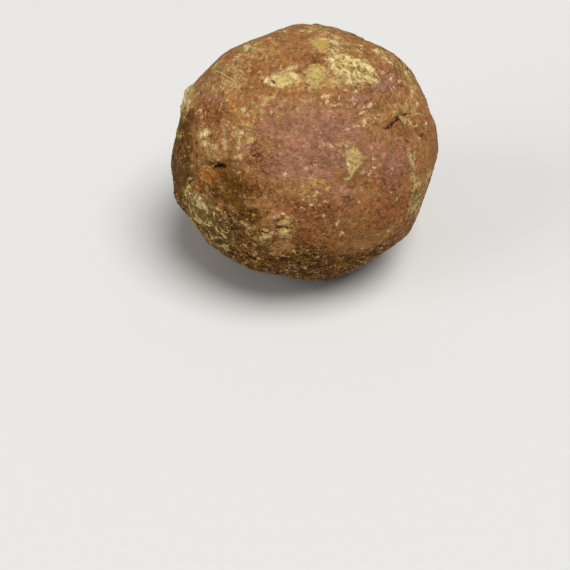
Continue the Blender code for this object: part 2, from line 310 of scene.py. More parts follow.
# Olive zones are dust; those at the upper right and on the right rim also lighten the skin there: painted
# light
OLIVE_ZONES = (
    (408, 84, 26, 9, 68, 0.9), (182, 160, 40, 12, 88, 0.15), (360, 51, 16, 6, 15, 0.8),
    (422, 125, 16, 7, 80, 0.45), (318, 29, 26, 4, 0, 0.9), (400, 70, 12, 8, 60, 1.0),
    (226, 80, 30, 18, -30, 0.9), (250, 50, 22, 10, -25, 0.9), (337, 46, 18, 10, 10, 1.0),
    (330, 34, 28, 5, 10, 0.6), (293, 30, 22, 4, -8, 0.7), (262, 103, 28, 15, 10, 0.65),
    (386, 57, 16, 9, 28, 0.8), (305, 106, 34, 12, 0, 0.55), (382, 97, 14, 8, 0, 0.5),
    (205, 218, 36, 18, 52, 0.9), (187, 98, 20, 10, 110, 0.9), (421, 196, 30, 10, 105, 0.9),
    (350, 78, 36, 17, 20, 0.6), (240, 138, 14, 28, 0, 0.4), (206, 138, 13, 12, 0, 0.6),
    (352, 158, 20, 22, 70, 0.4), (310, 190, 14, 16, 20, 0.5), (365, 120, 20, 8, -10, 0.45),
    (205, 168, 12, 20, 0, 0.45), (262, 240, 40, 12, 10, 0.5), (282, 226, 18, 12, 0, 0.6),
    (402, 108, 14, 8, 0, 0.6), (270, 55, 14, 7, 0, 0.6), (292, 80, 32, 10, 0, 0.7),
    (317, 201, 5, 10, 5, 0.9), (249, 129, 5, 8, 0, 0.9),
)
ORANGE_ZONES = (
    (208.5, 175.5, 10, 10, 0, 1.3), (197, 186, 6, 4, 0, 1.0), (213, 187, 5, 3, 0, 0.7),
    (245, 180, 8, 10, 0, 0.5), (331, 233, 8, 6, 0, 0.4), (340, 200, 20, 8, 0, 0.35),
    (372, 222, 40, 18, -10, 0.22), (305, 218, 30, 10, 0, 0.22),
)
OCHRE_ZONES = (
    (262, 57, 6, 3.5, -10, 1.3), (275, 52, 4, 5, 20, 1.2), (269, 61, 5, 3, 0, 0.9), (306, 188, 6, 5, 30, 1.2),
    (318, 182, 8, 4, -15, 1.2), (317, 200, 4, 8, 5, 0.8), (247, 137, 4, 7, 0, 0.9), (241, 157, 3, 4, 0, 1.0),
    (302, 88, 5, 2.5, 20, 1.1), (236, 112, 8, 7, 0, 0.8), (252, 113, 8, 4, 0, 0.8), (292, 190, 5, 3, 0, 0.7),
)

# Noise seed of each colour's zones behind, and how strong the noise has to be there
HIND_ZONES = {
    "dark": (31, 0.5),
    "red": (33, 0.45),
    "mauve": (35, 0.5),
    "olive": (37, 0.4),
    "orange": (39, 0.7),
    "ochre": (45, 0.6),
}
HIND_ZONE_START = 0.5
HIND_ZONE_RUN = 0.3
HIND_ZONE_SIZE = 30
HIND_ZONE_SHARE = 0.17
HIND_EDGE_SIZE = 2.2
HIND_EDGE_SHARE = 0.3

# Crusts behind that lie at random: length of their ripples in mm and reach in pixels, cell size and
# reach of the noise in their edges, how deep most of the skin lies outside them
HIND_CRUST_RIPPLE = (13, 5)
HIND_CRUST_EDGE = (2.8, 8)
HIND_CRUST_RARE = 10
MM_PER_PIXEL = 0.33
FAR_OUTSIDE = -9

# How far toward the eye the skin faces where the marks in front run over into those behind
BACK_RUN = (-0.22, 0.12)

# The dark gritty band round the underside, partly darker grit and partly painted shade: how far down the
# skin faces where it starts and is full; its broken edge as cell size, reach and seed of noise
LOWER_BAND = (-0.08, 0.36)
LOWER_BAND_EDGE = (6.5, 0.8, 87)
LIGHT_SHARE = 0.7

# The dark band beyond the left fold, partly dark olive sugar and partly painted shade: pixels beyond,
# rows where it starts, patches as cell size and seed
LEFT_BAND = (0, 9)
LEFT_BAND_ROWS = (96, 122)
LEFT_BAND_FULL = 1.3
LEFT_BAND_PATCHES = (7, 88)
LEFT_BAND_SHARE = 0.6

# Grit from 0 to 1: what the ground has everywhere, what dark zones, the smooth zone and the left add
GRIT_EVERYWHERE = 0.1
GRIT_OF_DARK = 0.7
GRIT_OF_LEFT = 0.2
SMOOTHED_SHARE = 0.85

# Where the gritty band and its painted shade are thinned, and the worn place round the finger hollow,
# without a strength
LIGHT_ZONES = ((374, 236, 44, 20, -14), (413, 212, 28, 13, 105))
SMOOTH_ZONE = (224, 180, 26, 17, 15)

# How much of the edge noise moves the edge of the yellow flake at the top
FLAKE_EDGE_SHARE = 0.3

SOFT_ZONES = {
    "dark": DARK_ZONES,
    "red": RED_ZONES,
    "mauve": MAUVE_ZONES,
    "olive": OLIVE_ZONES,
    "orange": ORANGE_ZONES,
    "ochre": OCHRE_ZONES,
}

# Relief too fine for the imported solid: cell size and height in mm, seed; how flat the clods are,
# how deep the hollows between ridges, and the share of the ridges' second noise and their width
GRAIN_RELIEF = ((3.1, 0.22, 60), (1.9, 0.18, 61), (1.2, 0.14, 62))
CLODS = (2.1, 0.5, 63)
CLOD_SQUASH = (1, 1, 1.5)
CLOD_GRAIN = (1.3, 0.25, 64)
GREEN_RIDGES = (3.0, 0.45, 65)
GREEN_SUNK = 0.2
CREAM_CLODS = (2.3, 0.3, 66)
CREAM_GRAIN_SIZE = 1.3
PORE_DEPTH = 0.3
RIDGE_SECOND = 0.4
RIDGE_HALF_WIDTH = 0.22

# Noise that moves the marks' edges aside: cell size in mm, reach in pixels, seed
EDGE_NOISE = ((2.6, 5.0, 81), (1.0, 3.0, 84))

# Small pale flakes in front: column, row, half length and half width in pixels, slope
PALE_FLAKES = (
    (326, 97, 4.5, 2.2, 0), (333, 95, 1.6, 1.1, 40), (328, 103, 2, 1.8, 80), (369, 105, 4.6, 1.6, 4),
    (357, 92, 1.2, 3, 0), (364, 124, 2.4, 2.6, 0), (368, 119, 3, 1.1, -5), (362, 114, 3.6, 1.3, 5),
    (418, 126, 1.1, 1.9, 0), (421, 138, 1.7, 1.7, 0), (418, 114, 3.5, 1.1, -12), (399, 115, 1.8, 1.4, 0),
    (353, 100, 2.6, 1.2, 0), (355, 104, 2.4, 1, 0), (347, 130, 1.6, 1.3, 0), (355, 127, 3, 1, -12),
    (373, 168, 1.7, 1.7, 0), (369, 174, 1.3, 2.4, 0), (363, 173, 1.6, 1.2, 0), (336.5, 225, 1.3, 2.5, 20),
    (286, 174.5, 2.3, 2.9, 20), (314, 166.5, 1, 0.9, 8), (316, 166, 1.1, 1.6, 20), (204, 144, 2.2, 2.2, 0),
    (209.5, 144, 1.6, 2, -30), (225, 134, 1, 2.6, -10), (225.5, 140, 1.8, 1.8, 0), (235, 133, 1.4, 1.3, 0),
    (228, 122, 1.5, 1.3, 0), (239, 145, 1.8, 2.6, 10), (199, 111, 2.6, 1.4, -35),
    (197, 114, 2.4, 1, 20), (211.5, 160.5, 1.5, 1.1, 0), (238, 172, 1.5, 1.5, 0), (188, 178, 1.6, 1.4, 0),
    (250, 227.5, 4, 1.2, 8), (266, 236, 3.6, 1.6, 20), (271, 232, 2, 1.6, 40), (254, 253, 1.5, 1.5, 0),
    (271, 252.5, 2.6, 1.2, -30), (293, 250.5, 3, 1.1, -5), (306, 267.5, 1.7, 1.2, 10),
    (287, 268.5, 2.6, 1, 15),
    (361, 262, 1.3, 1.3, 0), (366, 262, 1.5, 1.3, 0), (343, 233, 2, 1.6, 40), (359, 202, 1.9, 1, 20),
    (240, 56, 4, 0.8, -3), (267, 57, 1.5, 1.3, 0), (297, 83, 2.5, 1, -5), (311, 88, 1.5, 2, -30),
    (390, 192, 1.4, 1.1, 0), (412, 191, 1, 2, -10), (380, 211, 1, 1, 0), (382, 214, 1.2, 1, 0),
    (302, 30.5, 3, 0.9, -5), (309, 31.5, 2.4, 0.8, 0), (285, 31.5, 2.2, 0.9, -10), (328, 33.5, 3, 0.9, 5),
    (336, 36.5, 2.4, 1, 10), (361, 46.5, 2.2, 1, 20), (390, 78.5, 1.6, 1.4, 0), (393, 75.5, 1.3, 1, 0),
    (407, 73.5, 2, 1.6, 40), (400, 81, 1.4, 1.2, 0), (412, 92, 1.4, 2.2, 0), (384, 73, 1.4, 1, 0),
    (416, 104, 1.2, 2.4, 0), (222, 88, 2, 1.4, 20), (229, 90, 1.6, 1.2, 0),
    (316, 194, 1.5, 1.3, 20), (312, 206, 2, 2, 0), (305, 210, 1.3, 1.3, 0), (324, 216, 1.3, 1.6, 0),
)

# Loose flakes besides those: number, reach in mm, how thin; and the outline, ring, middle, depths
# under the skin and tones of all flakes
FLAKE_SEED = 71
LOOSE_FLAKES = 1300
LOOSE_FLAKE_MM = (0.15, 0.65)
FLAKE_SIDES = 11
FLAKE_TURN = 0.2
FLAKE_REACH = (0.35, 1.15)
FLAKE_TOP = 0.72
FLAKE_MIDDLE = 0.9
FLAKE_RIM_DEPTH = 0.12 * MM
FLAKE_FOOT_DEPTH = 0.35 * MM
FLAKE_THICK_MM = (0.10, 0.24)
PLACED_SHARE = 0.7
PLACED_TONES = (0.4, 0.9)
LOOSE_THIN = (0.3, 0.8)
LOOSE_TONES = (0, 0.65)

# Sugar grains and dark crumbs: eight-sided chips, most of them small and of their first tone
GRAIN_SEED = 73
GRAINS = 7000
GRAIN_MM = (0.06, 0.30)
CRUMB_SEED = 79
CRUMBS = 2500
CRUMB_MM = (0.12, 0.36)
GRAIN_ROUGHNESS = 0.45
CRUMB_ROUGHNESS = 0.8
FLAKE_ROUGHNESS = 0.7
STRAW_ROUGHNESS = 0.6
MOSTLY_SMALL = 2
MOSTLY_FIRST = 1.5
CHIP_CORNERS = 6
CHIP_REACH = (0.55, 1.15)
CHIP_RISE = 0.15
TRIES_PER_BIT = 12

# Steps aside over the skin by which its normals are found
ASLANT = (0.3, 0.5, 0.81)
NORMAL_REACH = 0.006

# Height over the floor where the lowest bits stick, and where they are as thick as elsewhere
CLEAR_OF_FOOT = (0.8 * MM, 2.4 * MM)

# Straw fibres: corners of each in columns and rows, and radius in mm
FIBRES = {
    "long straw": (((217, 73), (223, 75), (230, 79), (239, 84)), 0.16),
    "short straw": (((236, 56), (241, 56), (246, 56.5)), 0.10),
    "straw on the shoulder": (((372, 60), (377, 57), (381, 56)), 0.07),
    "straw by the tan run": (((262, 107), (264, 103), (269, 99)), 0.10),
    "straw on the brow": (((233, 89), (236, 88.5), (240, 89)), 0.08),
}

# Shape of the fibres: sides and places along them, rise over the skin in radii, taper of the ends
FIBRE_SIDES = 8
FIBRE_STATIONS = 14
FIBRE_RISE = 0.7
FIBRE_TAPER = 0.45

# Noises of the skin's material: size in mm, shift, detail, roughness
NOISES = {
    "broad": (10, 1, 4.0, 0.6),
    "middling": (3.0, 2, 6.0, 0.65),
    "fine": (1.2, 3, 3.0, 0.6),
    "grain": (0.42, 4, 2.0, 0.5),
    "veil": (2.6, 5, 6.0, 0.66),
    "pepper": (1.6, 6, 3.0, 0.6),
    "shade": (1.7, 7, 4.0, 0.6),
    "ragged": (1.7, 9, 5.0, 0.66),
    "pores": (2.0, 10, 3.0, 0.55),
    "broken": (0.8, 11, 3.0, 0.6),
    "ridge": (2.8, 12, 3.0, 0.55),
    "patch": (4.6, 13, 5.0, 0.62),
    "drifts": (5.5, 14, 5.0, 0.6),
    "streak": (0.65, 18, 3.0, 0.6),
}

# How the noises are bent: size and reach in mm; how the streaks are stretched level; how far the
# ragged and broken noises reach, in pixels
BEND_MM = (1.3, 0.9)
STREAK_STRETCH = (0.4, 0.4, 1.3)
RAGGED_PIXELS = 11
BROKEN_PIXELS = 6

# Cells of the skin's material: size in mm, shift
SCALES = (1.9, 15)
SCALE_STRETCH = (1, 1, 1.8)
GRANULES = (0.85, 8)
SPARKLES = (0.38, 16)

# Soft zones of the material: gain, how far broad, middling and fine noise move their edges, and
# where the step to their colour starts and ends
ZONE_EDGES = {
    "red": (1.0, 2.0, 1.2, 0.0, 0.1, 0.8),
    "mauve": (1.0, 1.0, 1.7, 0.0, 0.2, 0.95),
    "dark": (1.25, 0.0, 2.6, 1.2, 0.4, 1.05),
    "orange": (1.0, 0.0, 1.2, 0.8, 0.25, 0.95),
    "ochre": (1.0, 0.0, 2.0, 1.5, 0.35, 0.95),
}

# Marks of the material: how far ragged and broken noise move their edges, start and end of the
# step in pixels inside the mark
MARK_EDGES = {
    "fleck": (0.35, 1.0, -0.5, 0.8),
    "green": (1.0, 0.0, -1.6, 1.4),
    "core": (0.3, 0.0, -1.0, 1.5),
    "tan": (0.7, 0.15, -1.4, 1.0),
    "flake": (0.3, 0.0, -0.6, 0.9),
    "cream": (0.8, 0.9, -1.1, 0.9),
    "pore": (0.3, 0.0, -0.8, 1.0),
    "hole": (0.25, 0.0, -0.9, 0.7),
}

# Start and end of each further step in the material
LAYER_EDGES = {
    "patch": (0.5, 0.64),
    "dust": (0.61, 0.73),
    "pepper": (0.58, 0.66),
    "shade": (0.56, 0.65),
    "gap": (0.86, 0.96),
    "gap patch": (0.42, 0.52),
    "bright": (0.95, 1.07),
    "inside": (0.10, 0.22),
    "pale": (0.99, 1.07),
    "granule": (0.53, 0.70),
    "shadow": (0.1, 0.6),
    "ridge side": (0.0, 0.6),
    "ridge top": (0.55, 1.05),
    "yellow": (-0.1, 0.15),
    "flake middle": (0.2, 3.0),
    "deep in cream": (1.5, 5.0),
    "pore": (-0.438, -0.338),
    "pore tone": (-0.15, 0.15),
    "blanched": (0.1, 1.2),
}

# The least that a colour is dimmed to
DIMMEST = 0.15

# Lamps: where each shines from, its spread in degrees, its colour
LAMPS = {
    "key": ((0.23, -0.19, 0.75), 36, (1.0, 0.985, 0.96)),
    "sky": ((0, 0, 1), 150, (1.0, 1.0, 1.0)),
    "fill": ((-0.75, -0.35, 0.38), 40, (1.0, 1.0, 1.0)),
}

# Grid of the skin: squares along each side of the cube, of the rough grid that finds its middle,
# and how far the squares crowd toward the eye
SKIN_SQUARES = 128
MIDDLE_SQUARES = 48
SKIN_CROWD = 0.30


def unit(vectors):
    """Vectors made one long."""
    return vectors / np.linalg.norm(vectors, axis=-1, keepdims=True)


def step(values, low, high):
    """Smooth step from 0 at low to 1 at high: 3t^2 - 2t^3."""
    t = np.clip((values - low) / (high - low), 0, 1)
    return t * t * (3 - 2 * t)


def eye_axes():
    """Right, up and ahead of the eye, turned so that the lump's middle shows at its own pixel."""
    x = (LUMP_COLUMN - PICTURE_MIDDLE) / FOCAL_PIXELS
    y = (PICTURE_MIDDLE - LUMP_ROW) / FOCAL_PIXELS
    reach = math.sqrt(1 + x * x + y * y)
    pitch = math.atan(y) + math.asin(reach * math.sin(EYE_LIFT) / math.sqrt(1 + y * y))
    yaw = math.asin(x / (reach * math.cos(EYE_LIFT)))
    level = np.array((-math.sin(yaw), math.cos(yaw), 0.0))
    right = np.array((math.cos(yaw), math.sin(yaw), 0.0))
    ahead = level * math.cos(pitch) - np.array((0.0, 0.0, math.sin(pitch)))
    return right, np.cross(right, ahead), ahead


def eye_place():
    """Where the eye is, out from the lump's middle along the line of sight."""
    return EYE_DISTANCE * np.array((0.0, -math.cos(EYE_LIFT), math.sin(EYE_LIFT)))


def shown_at(points):
    """Columns and rows at which points show: their offsets from the eye over their distance ahead."""
    right, up, ahead = eye_axes()
    out = points - eye_place()
    away = out @ ahead
    columns = PICTURE_MIDDLE + FOCAL_PIXELS * (out @ right) / away
    rows = PICTURE_MIDDLE - FOCAL_PIXELS * (out @ up) / away
    return columns, rows


def seen(columns, rows):
    """Directions of the places that show at pixels: where each ray meets the ellipsoid, or passes nearest."""
    right, up, ahead = eye_axes()
    columns = np.asarray(columns, float)[..., None]
    rows = np.asarray(rows, float)[..., None]
    rays = ahead + right * (columns - PICTURE_MIDDLE) / FOCAL_PIXELS
    rays = (rays + up * (PICTURE_MIDDLE - rows) / FOCAL_PIXELS) / HALF
    start = eye_place() / HALF
    length = (rays * rays).sum(axis=-1, keepdims=True)
    miss = start - rays * (rays @ start)[..., None] / length
    short = np.maximum(0, 1 - (miss * miss).sum(axis=-1, keepdims=True))
    return unit(miss - rays * np.sqrt(short / length))


def facing(turn, lift):
    """Direction by its turn round from the front, seen from above, and its lift, in degrees."""
    turn = math.radians(turn)
    lift = math.radians(lift)
    level = math.cos(lift)
    return np.array((level * math.sin(turn), -level * math.cos(turn), math.sin(lift)))


def arc(directions, middle):
    """Distance over the skin from a middle, in mm: radius times angle."""
    return MEAN_RADIUS / MM * np.arccos(np.clip(directions @ middle, -1, 1))


def ripple(points, length, seed):
    """Sum of plane waves of one length, with seeded directions and phases, about one high."""
    draw = np.random.default_rng(seed)
    across = unit(draw.normal(size=(WAVES_PER_RIPPLE, 3)))
    phases = draw.uniform(0, 2 * math.pi, WAVES_PER_RIPPLE)
    waves = np.sin(points @ across.T * (2 * math.pi / (length * MM)) + phases)
    return waves.sum(axis=1) * math.sqrt(2 / WAVES_PER_RIPPLE)


def lattice(cells, seed):
    """Seeded random numbers from 0 to 1 for whole-number cells: their coordinates, mixed as whole numbers."""
    mixed = cells[..., 0] * 374761393 + cells[..., 1] * 668265263 + cells[..., 2] * 2246822519
    mixed = (mixed + seed * 3266489917) & 0xFFFFFFFF
    mixed = ((mixed ^ (mixed >> 15)) * 2246822519) & 0xFFFFFFFF
    mixed = ((mixed ^ (mixed >> 13)) * 3266489917) & 0xFFFFFFFF
    return ((mixed ^ (mixed >> 16)) & 0xFFFFFF) / 0xFFFFFF


def cloud(points, size, seed):
    """Value noise from 0 to 1, with cells of a size in mm: corners' random numbers, smoothly blended."""
    spots = points / (size * MM)
    cells = np.floor(spots).astype(np.int64)
    inside = spots - cells
    inside = inside * inside * (3 - 2 * inside)
    total = np.zeros(len(points))
    for corner in np.ndindex(2, 2, 2):
        share = np.where(corner, inside, 1 - inside).prod(axis=1)
        total += share * lattice(cells + np.array(corner), seed)
    return total


def clods(points, size, seed):
    """Distance to the nearest of one random point per cell of a size in mm, as a share of the size."""
    spots = points / (size * MM)
    cells = np.floor(spots).astype(np.int64)
    nearest = np.full(len(points), np.inf)
    for offset in np.ndindex(3, 3, 3):
        cell = cells + np.array(offset) - 1
        middle = cell + np.stack([lattice(cell, seed + axis) for axis in range(3)], axis=1)
        nearest = np.minimum(nearest, ((spots - middle) ** 2).sum(axis=1))
    return np.sqrt(nearest)


def swells(directions):
    """Rise of the broad swells and hollows, in mm: a bell over the skin for each."""
    rise = np.zeros(len(directions))
    places = [(seen(column, row), height, spread) for column, row, height, spread in FRONT_SWELLS.values()]
    places += [(facing(turn, lift), height, spread) for turn, lift, height, spread in HIND_SWELLS.values()]
    for middle, height, spread in places:
        rise += height * np.exp(-(arc(directions, middle) / spread) ** 2)
    return rise


def fold(columns, rows, course):
    """Rise of a fold, in mm: a crest down its course, and the lower side behind it."""
    course_rows, course_columns, crest, drop, side = course
    beyond = side * (columns - np.interp(rows, course_rows, course_columns))
    along = step(rows, course_rows[0], course_rows[1]) * (1 - step(rows, course_rows[-2], course_rows[-1]))
    lower = step(beyond, 0, FOLD_CREST) * np.exp(-(np.maximum(beyond, 0) / FOLD_REACH) ** 2)
    return along * (crest * np.exp(-(beyond / FOLD_CREST) ** 2) - drop * lower)


def out_of(columns, rows, patch):
    """How far out of an ellipse's middle pixels lie: 0 there, 1 at its edge."""
    column, row, half_length, half_width, slope = patch[:5]
    turn = math.radians(slope)
    across = (columns - column) * math.cos(turn) + (rows - row) * math.sin(turn)
    down = (rows - row) * math.cos(turn) - (columns - column) * math.sin(turn)
    return np.hypot(across / half_length, down / half_width)


def from_line(columns, rows, line):
    """Distance in pixels from a line through its corners."""
    nearest = np.full(len(columns), np.inf)
    for (x0, y0), (x1, y1) in zip(line, line[1:]):
        run = np.array((x1 - x0, y1 - y0))
        along = np.clip(((columns - x0) * run[0] + (rows - y0) * run[1]) / (run @ run), 0, 1)
        nearest = np.minimum(nearest, np.hypot(columns - x0 - along * run[0], rows - y0 - along * run[1]))
    return nearest


def inside_flake(columns, rows):
    """Distance in pixels inside the flake's nearest side, less than 0 outside."""
    inside = np.full(len(columns), np.inf)
    for (x0, y0), (x1, y1) in zip(FLAKE_CORNERS, FLAKE_CORNERS[1:] + FLAKE_CORNERS[:1]):
        side = (rows - y0) * (x1 - x0) - (columns - x0) * (y1 - y0)
        inside = np.minimum(inside, side / math.hypot(x1 - x0, y1 - y0))
    return inside


def relief(directions, points):
    """Rise of the marks, in mm: those in front by where they show, those behind by direction."""
    columns, rows = shown_at(points)
    edge = sum(share * ripple(points, length, RAGGED_SEED) for length, share in RAGGED)
    rise = fold(columns, rows, RIGHT_FOLD) + fold(columns, rows, LEFT_FOLD)
    for patch in (*CREAM_CRUSTS.values(), *TAN_CRUSTS.values(), *GREEN_CRUSTS.values()):
        rise += patch[5] * (1 - step(out_of(columns, rows, patch) + edge, *CRUST_SIDE))
    rise += FLAKE_HEIGHT * step(inside_flake(columns, rows), 0, FLAKE_SIDE)
    rise += CRACK_PLATE[5] * (1 - step(out_of(columns, rows, CRACK_PLATE), *CRUST_SIDE))
    pit = from_line(columns, rows, PIT_LINE) / PIT_HALF_WIDTH
    small_pit = from_line(columns, rows, SMALL_PIT_LINE) / SMALL_PIT_HALF_WIDTH
    crack = np.minimum(*(from_line(columns, rows, leg) for leg in CRACK_LEGS)) / CRACK_HALF_WIDTH
    rise -= PIT_DEPTH * np.exp(-pit ** 2)
    rise -= SMALL_PIT_DEPTH * np.exp(-small_pit ** 2)
    rise -= CRACK_DEPTH * np.exp(-crack ** 2)
    rise *= step(directions @ unit(eye_place()), *RIM)
    for turn, lift, radius, height in (*HIND_CREAM.values(), *HIND_GREEN.values()):
        out = arc(directions, facing(turn, lift)) / radius + edge
        rise += height * (1 - step(out, *CRUST_SIDE))
    return rise


def laid_flat(depths, blend):
    """Depths behind a plane with all that stood before it laid flat, run in by a parabola."""
    bend = np.clip(depths, -blend, blend)
    return np.where(depths > blend, depths, (bend + blend) ** 2 / (4 * blend))


def pressed(points, middle, depth):
    """Points with the side round a middle pressed flat to a depth in mm."""
    normal = unit(middle / HALF)
    plane = (middle * HALF) @ normal - depth * MM
    depths = plane - points @ normal
    return points + (depths - laid_flat(depths, PRESS_BLEND * MM))[:, None] * normal


def mass(directions):
    """Points of the round mass, without its marks: ellipsoid, ripples, swells and presses."""
    rise = swells(directions)
    for index, (length, height) in enumerate(RIPPLES):
        rise += height * ripple(directions * HALF, length, RIPPLE_SEED + index)
    points = directions * (HALF + (rise * MM)[:, None])
    for column, row, depth in FRONT_PRESSES.values():
        points = pressed(points, seen(column, row), depth)
    for turn, lift, depth in HIND_PRESSES.values():
        points = pressed(points, facing(turn, lift), depth)
    return points


def fade_behind(directions, front, behind=FAR_OUTSIDE):
    """Front values where the skin is in sight, run over into the values behind."""
    share = step(directions @ unit(eye_place()), *BACK_RUN)
    return front * share + behind * (1 - share)


def bent(points):
    """Columns and rows at which points show, moved aside by noise, so that no mark has a smooth edge."""
    columns, rows = shown_at(points)
    for size, reach, seed in EDGE_NOISE:
        columns = columns + reach * (cloud(points, size, seed) - 0.5)
        rows = rows + reach * (cloud(points, size, seed + 1) - 0.5)
    return columns, rows


def bell(columns, rows, zone, power=2):
    """A bell over an ellipse: 1 at its middle, about a third at its edge."""
    return np.exp(-out_of(columns, rows, zone) ** power)


def soft_zone(directions, points, shown, zones, seed, floor):
    """Strength of a colour from 0 to 1: bells over the zones in front, slow noise behind."""
    front = np.zeros(len(points))
    for zone in zones:
        front = np.maximum(front, zone[5] * bell(*shown, zone))
    behind = HIND_ZONE_START + HIND_ZONE_SHARE * ripple(points, HIND_ZONE_SIZE, seed)
    behind += HIND_EDGE_SHARE * (cloud(points, HIND_EDGE_SIZE, seed) - 0.5)
    return fade_behind(directions, front, step(behind, floor, floor + HIND_ZONE_RUN))


def crust_field(directions, points, shown, front_crusts, hind_crusts=None, seed=0):
    """Pixels inside the edge of the nearest crust, less than 0 outside: ellipses in front, rounds behind."""
    front = np.full(len(points), float(FAR_OUTSIDE))
    for patch in front_crusts:
        front = np.maximum(front, (1 - out_of(*shown, patch)) * min(patch[2:4]))
    if hind_crusts is None:
        return fade_behind(directions, front)
    length, reach = HIND_CRUST_RIPPLE
    size, edge_reach = HIND_CRUST_EDGE
    behind = reach * ripple(points, length, seed) - HIND_CRUST_RARE
    behind += edge_reach * (cloud(points, size, seed + 1) - 0.5)
    for turn, lift, radius, height in hind_crusts.values():
        behind = np.maximum(behind, (radius - arc(directions, facing(turn, lift))) / MM_PER_PIXEL)
    return np.clip(fade_behind(directions, front, behind), FAR_OUTSIDE, -FAR_OUTSIDE)


def line_field(columns, rows, lines):
    """Pixels inside the edge of the nearest of some lines, less than 0 outside."""
    inside = np.full(len(columns), float(FAR_OUTSIDE))
    for line, half_width in lines.values():
        inside = np.maximum(inside, half_width - from_line(columns, rows, line))
    return inside


def fields(directions, points):
    """Everything that the skin's material reads at a point of the skin, by name."""
    shown = bent(points)
    columns, rows = shown
    marks = {
        "cream": crust_field(directions, points, shown, CREAM_CRUSTS.values(), HIND_CREAM, 41),
        "tan": crust_field(directions, points, shown, TAN_CRUSTS.values(), {}, 43),
        "green": crust_field(directions, points, shown, GREEN_CRUSTS.values(), HIND_GREEN, 47),
        "core": crust_field(directions, points, shown, YELLOW_CORES.values()),
        "fleck": crust_field(directions, points, shown, PALE_FLAKES),
        "hole": fade_behind(directions, line_field(*shown, DARK_LINES)),
        "pore": fade_behind(directions, line_field(*shown, CRUST_PORES)),
    }
    flake_at = (a + FLAKE_EDGE_SHARE * (b - a) for a, b in zip(shown_at(points), shown))
    marks["flake"] = fade_behind(directions, inside_flake(*flake_at))
    for name, zones in SOFT_ZONES.items():
        marks[name] = soft_zone(directions, points, shown, zones, *HIND_ZONES[name])

    # The lower band darkens the skin where it faces down: partly darker grit, partly painted shade
    light = np.maximum(*(bell(*shown, zone) for zone in LIGHT_ZONES))
    lower = step(-directions[:, 2], *LOWER_BAND) * (1 - LIGHT_SHARE * fade_behind(directions, light, 0))
    size, reach, seed = LOWER_BAND_EDGE
    edge = 1 - (2 * lower - 1) ** 2
    lower = np.clip(lower + reach * (cloud(points, size, seed) - 0.5) * edge, 0, 1)
    # The left band is partly painted shade on the side beyond the left fold
    beyond = np.interp(rows, LEFT_FOLD[0], LEFT_FOLD[1]) - columns
    left = step(beyond, *LEFT_BAND) * step(rows, *LEFT_BAND_ROWS)
    left = left * (LEFT_BAND_FULL - LEFT_BAND_SHARE * cloud(points, *LEFT_BAND_PATCHES))
    left = fade_behind(directions, left, 0)
    smooth = fade_behind(directions, bell(*shown, SMOOTH_ZONE, 4), 0)
    grit = np.maximum(GRIT_OF_DARK * marks["dark"], lower) * (1 - SMOOTHED_SHARE * smooth)
    grit = np.maximum(grit, GRIT_OF_LEFT * left)
    marks["grit"] = np.clip((1 - GRIT_EVERYWHERE) * grit + GRIT_EVERYWHERE, 0, 1)
    # Dark holds the dark zones, the lower band and the left band: partly painted shade
    marks["dark"] = np.maximum(np.maximum(marks["dark"], lower), left)
    return marks


def ridges(points, size, seed):
    """Worm-like ridges from 0 to 1: 1 where value noise is at its middle, falling off to both sides."""
    noise = cloud(points, size, seed) + RIDGE_SECOND * cloud(points, size / 2, seed + 1)
    middle = (1 + RIDGE_SECOND) / 2
    return 1 - np.clip(np.abs(noise - middle) / RIDGE_HALF_WIDTH, 0, 1)


def fine_relief(points, marks):
    """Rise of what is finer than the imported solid, in mm: soft grain, clods in the grit, rough crusts."""
    rise = sum(height * (cloud(points, size, seed) - 0.5) for size, height, seed in GRAIN_RELIEF)
    size, height, seed = CLODS
    rise += marks["grit"] * height * (0.5 - clods(points * CLOD_SQUASH, size, seed))
    size, height, seed = CLOD_GRAIN
    rise += marks["grit"] * height * (cloud(points, size, seed) - 0.5)
    size, height, seed = GREEN_RIDGES
    rise += step(marks["green"], -1, 2) * (height * ridges(points, size, seed) - GREEN_SUNK)
    size, height, seed = CREAM_CLODS
    rough = clods(points, size, seed) + cloud(points, CREAM_GRAIN_SIZE, seed + 1) - 1
    rise += step(marks["cream"], 0, 2.5) * height * rough
    return rise - PORE_DEPTH * step(marks["pore"], -0.5, 1)


def skin(directions):
    """Points of the finished skin, out of the lump's middle, and the fields that its material reads."""
    points = mass(directions)
    marks = fields(directions, points)
    points = points + directions * (relief(directions, points) * MM)[:, None]
    # The fine relief also goes to the material as lift, which lightens its tops and darkens its hollows:
    # painted shade
    marks["lift"] = fine_relief(points, marks)
    points = points + directions * (marks["lift"] * MM)[:, None]
    points[:, 2] = laid_flat(points[:, 2] + FOOT_DROP, FOOT_BLEND)
    return points, marks


def ball_grid(squares, crowd):
    """Directions and faces of a cube of square grids swelled to a ball, welded at the cube's edges.

    Each side's coordinates are spread by the tangent of an even angle; then every direction is
    pulled toward the eye by crowd and made one long again.
    """
    steps = np.arange(squares + 1)
    across, down = np.meshgrid(steps, steps, indexing="ij")
    corners = []
    quads = []
    for axis in range(3):
        for side in (0, squares):
            sheet = np.zeros((squares + 1, squares + 1, 3), np.int64)
            sheet[..., axis] = side
            sheet[..., (axis + 1) % 3] = across
            sheet[..., (axis + 2) % 3] = down
            count = len(corners) * sheet[..., 0].size
            numbers = count + np.arange(sheet[..., 0].size).reshape(across.shape)
            quad = np.stack([numbers[:-1, :-1], numbers[1:, :-1], numbers[1:, 1:], numbers[:-1, 1:]], axis=-1)
            quads.append((quad if side else quad[..., ::-1]).reshape(-1, 4))
            corners.append(sheet.reshape(-1, 3))
    corners = np.concatenate(corners)
    codes = (corners[:, 0] * (squares + 1) + corners[:, 1]) * (squares + 1) + corners[:, 2]
    first, welded = np.unique(codes, return_index=True, return_inverse=True)[1:]
    directions = unit(np.tan((corners[first] * 2 / squares - 1) * math.pi / 4))
    directions = unit(directions + crowd * unit(eye_place()))
    return directions, welded.reshape(-1)[np.concatenate(quads)]


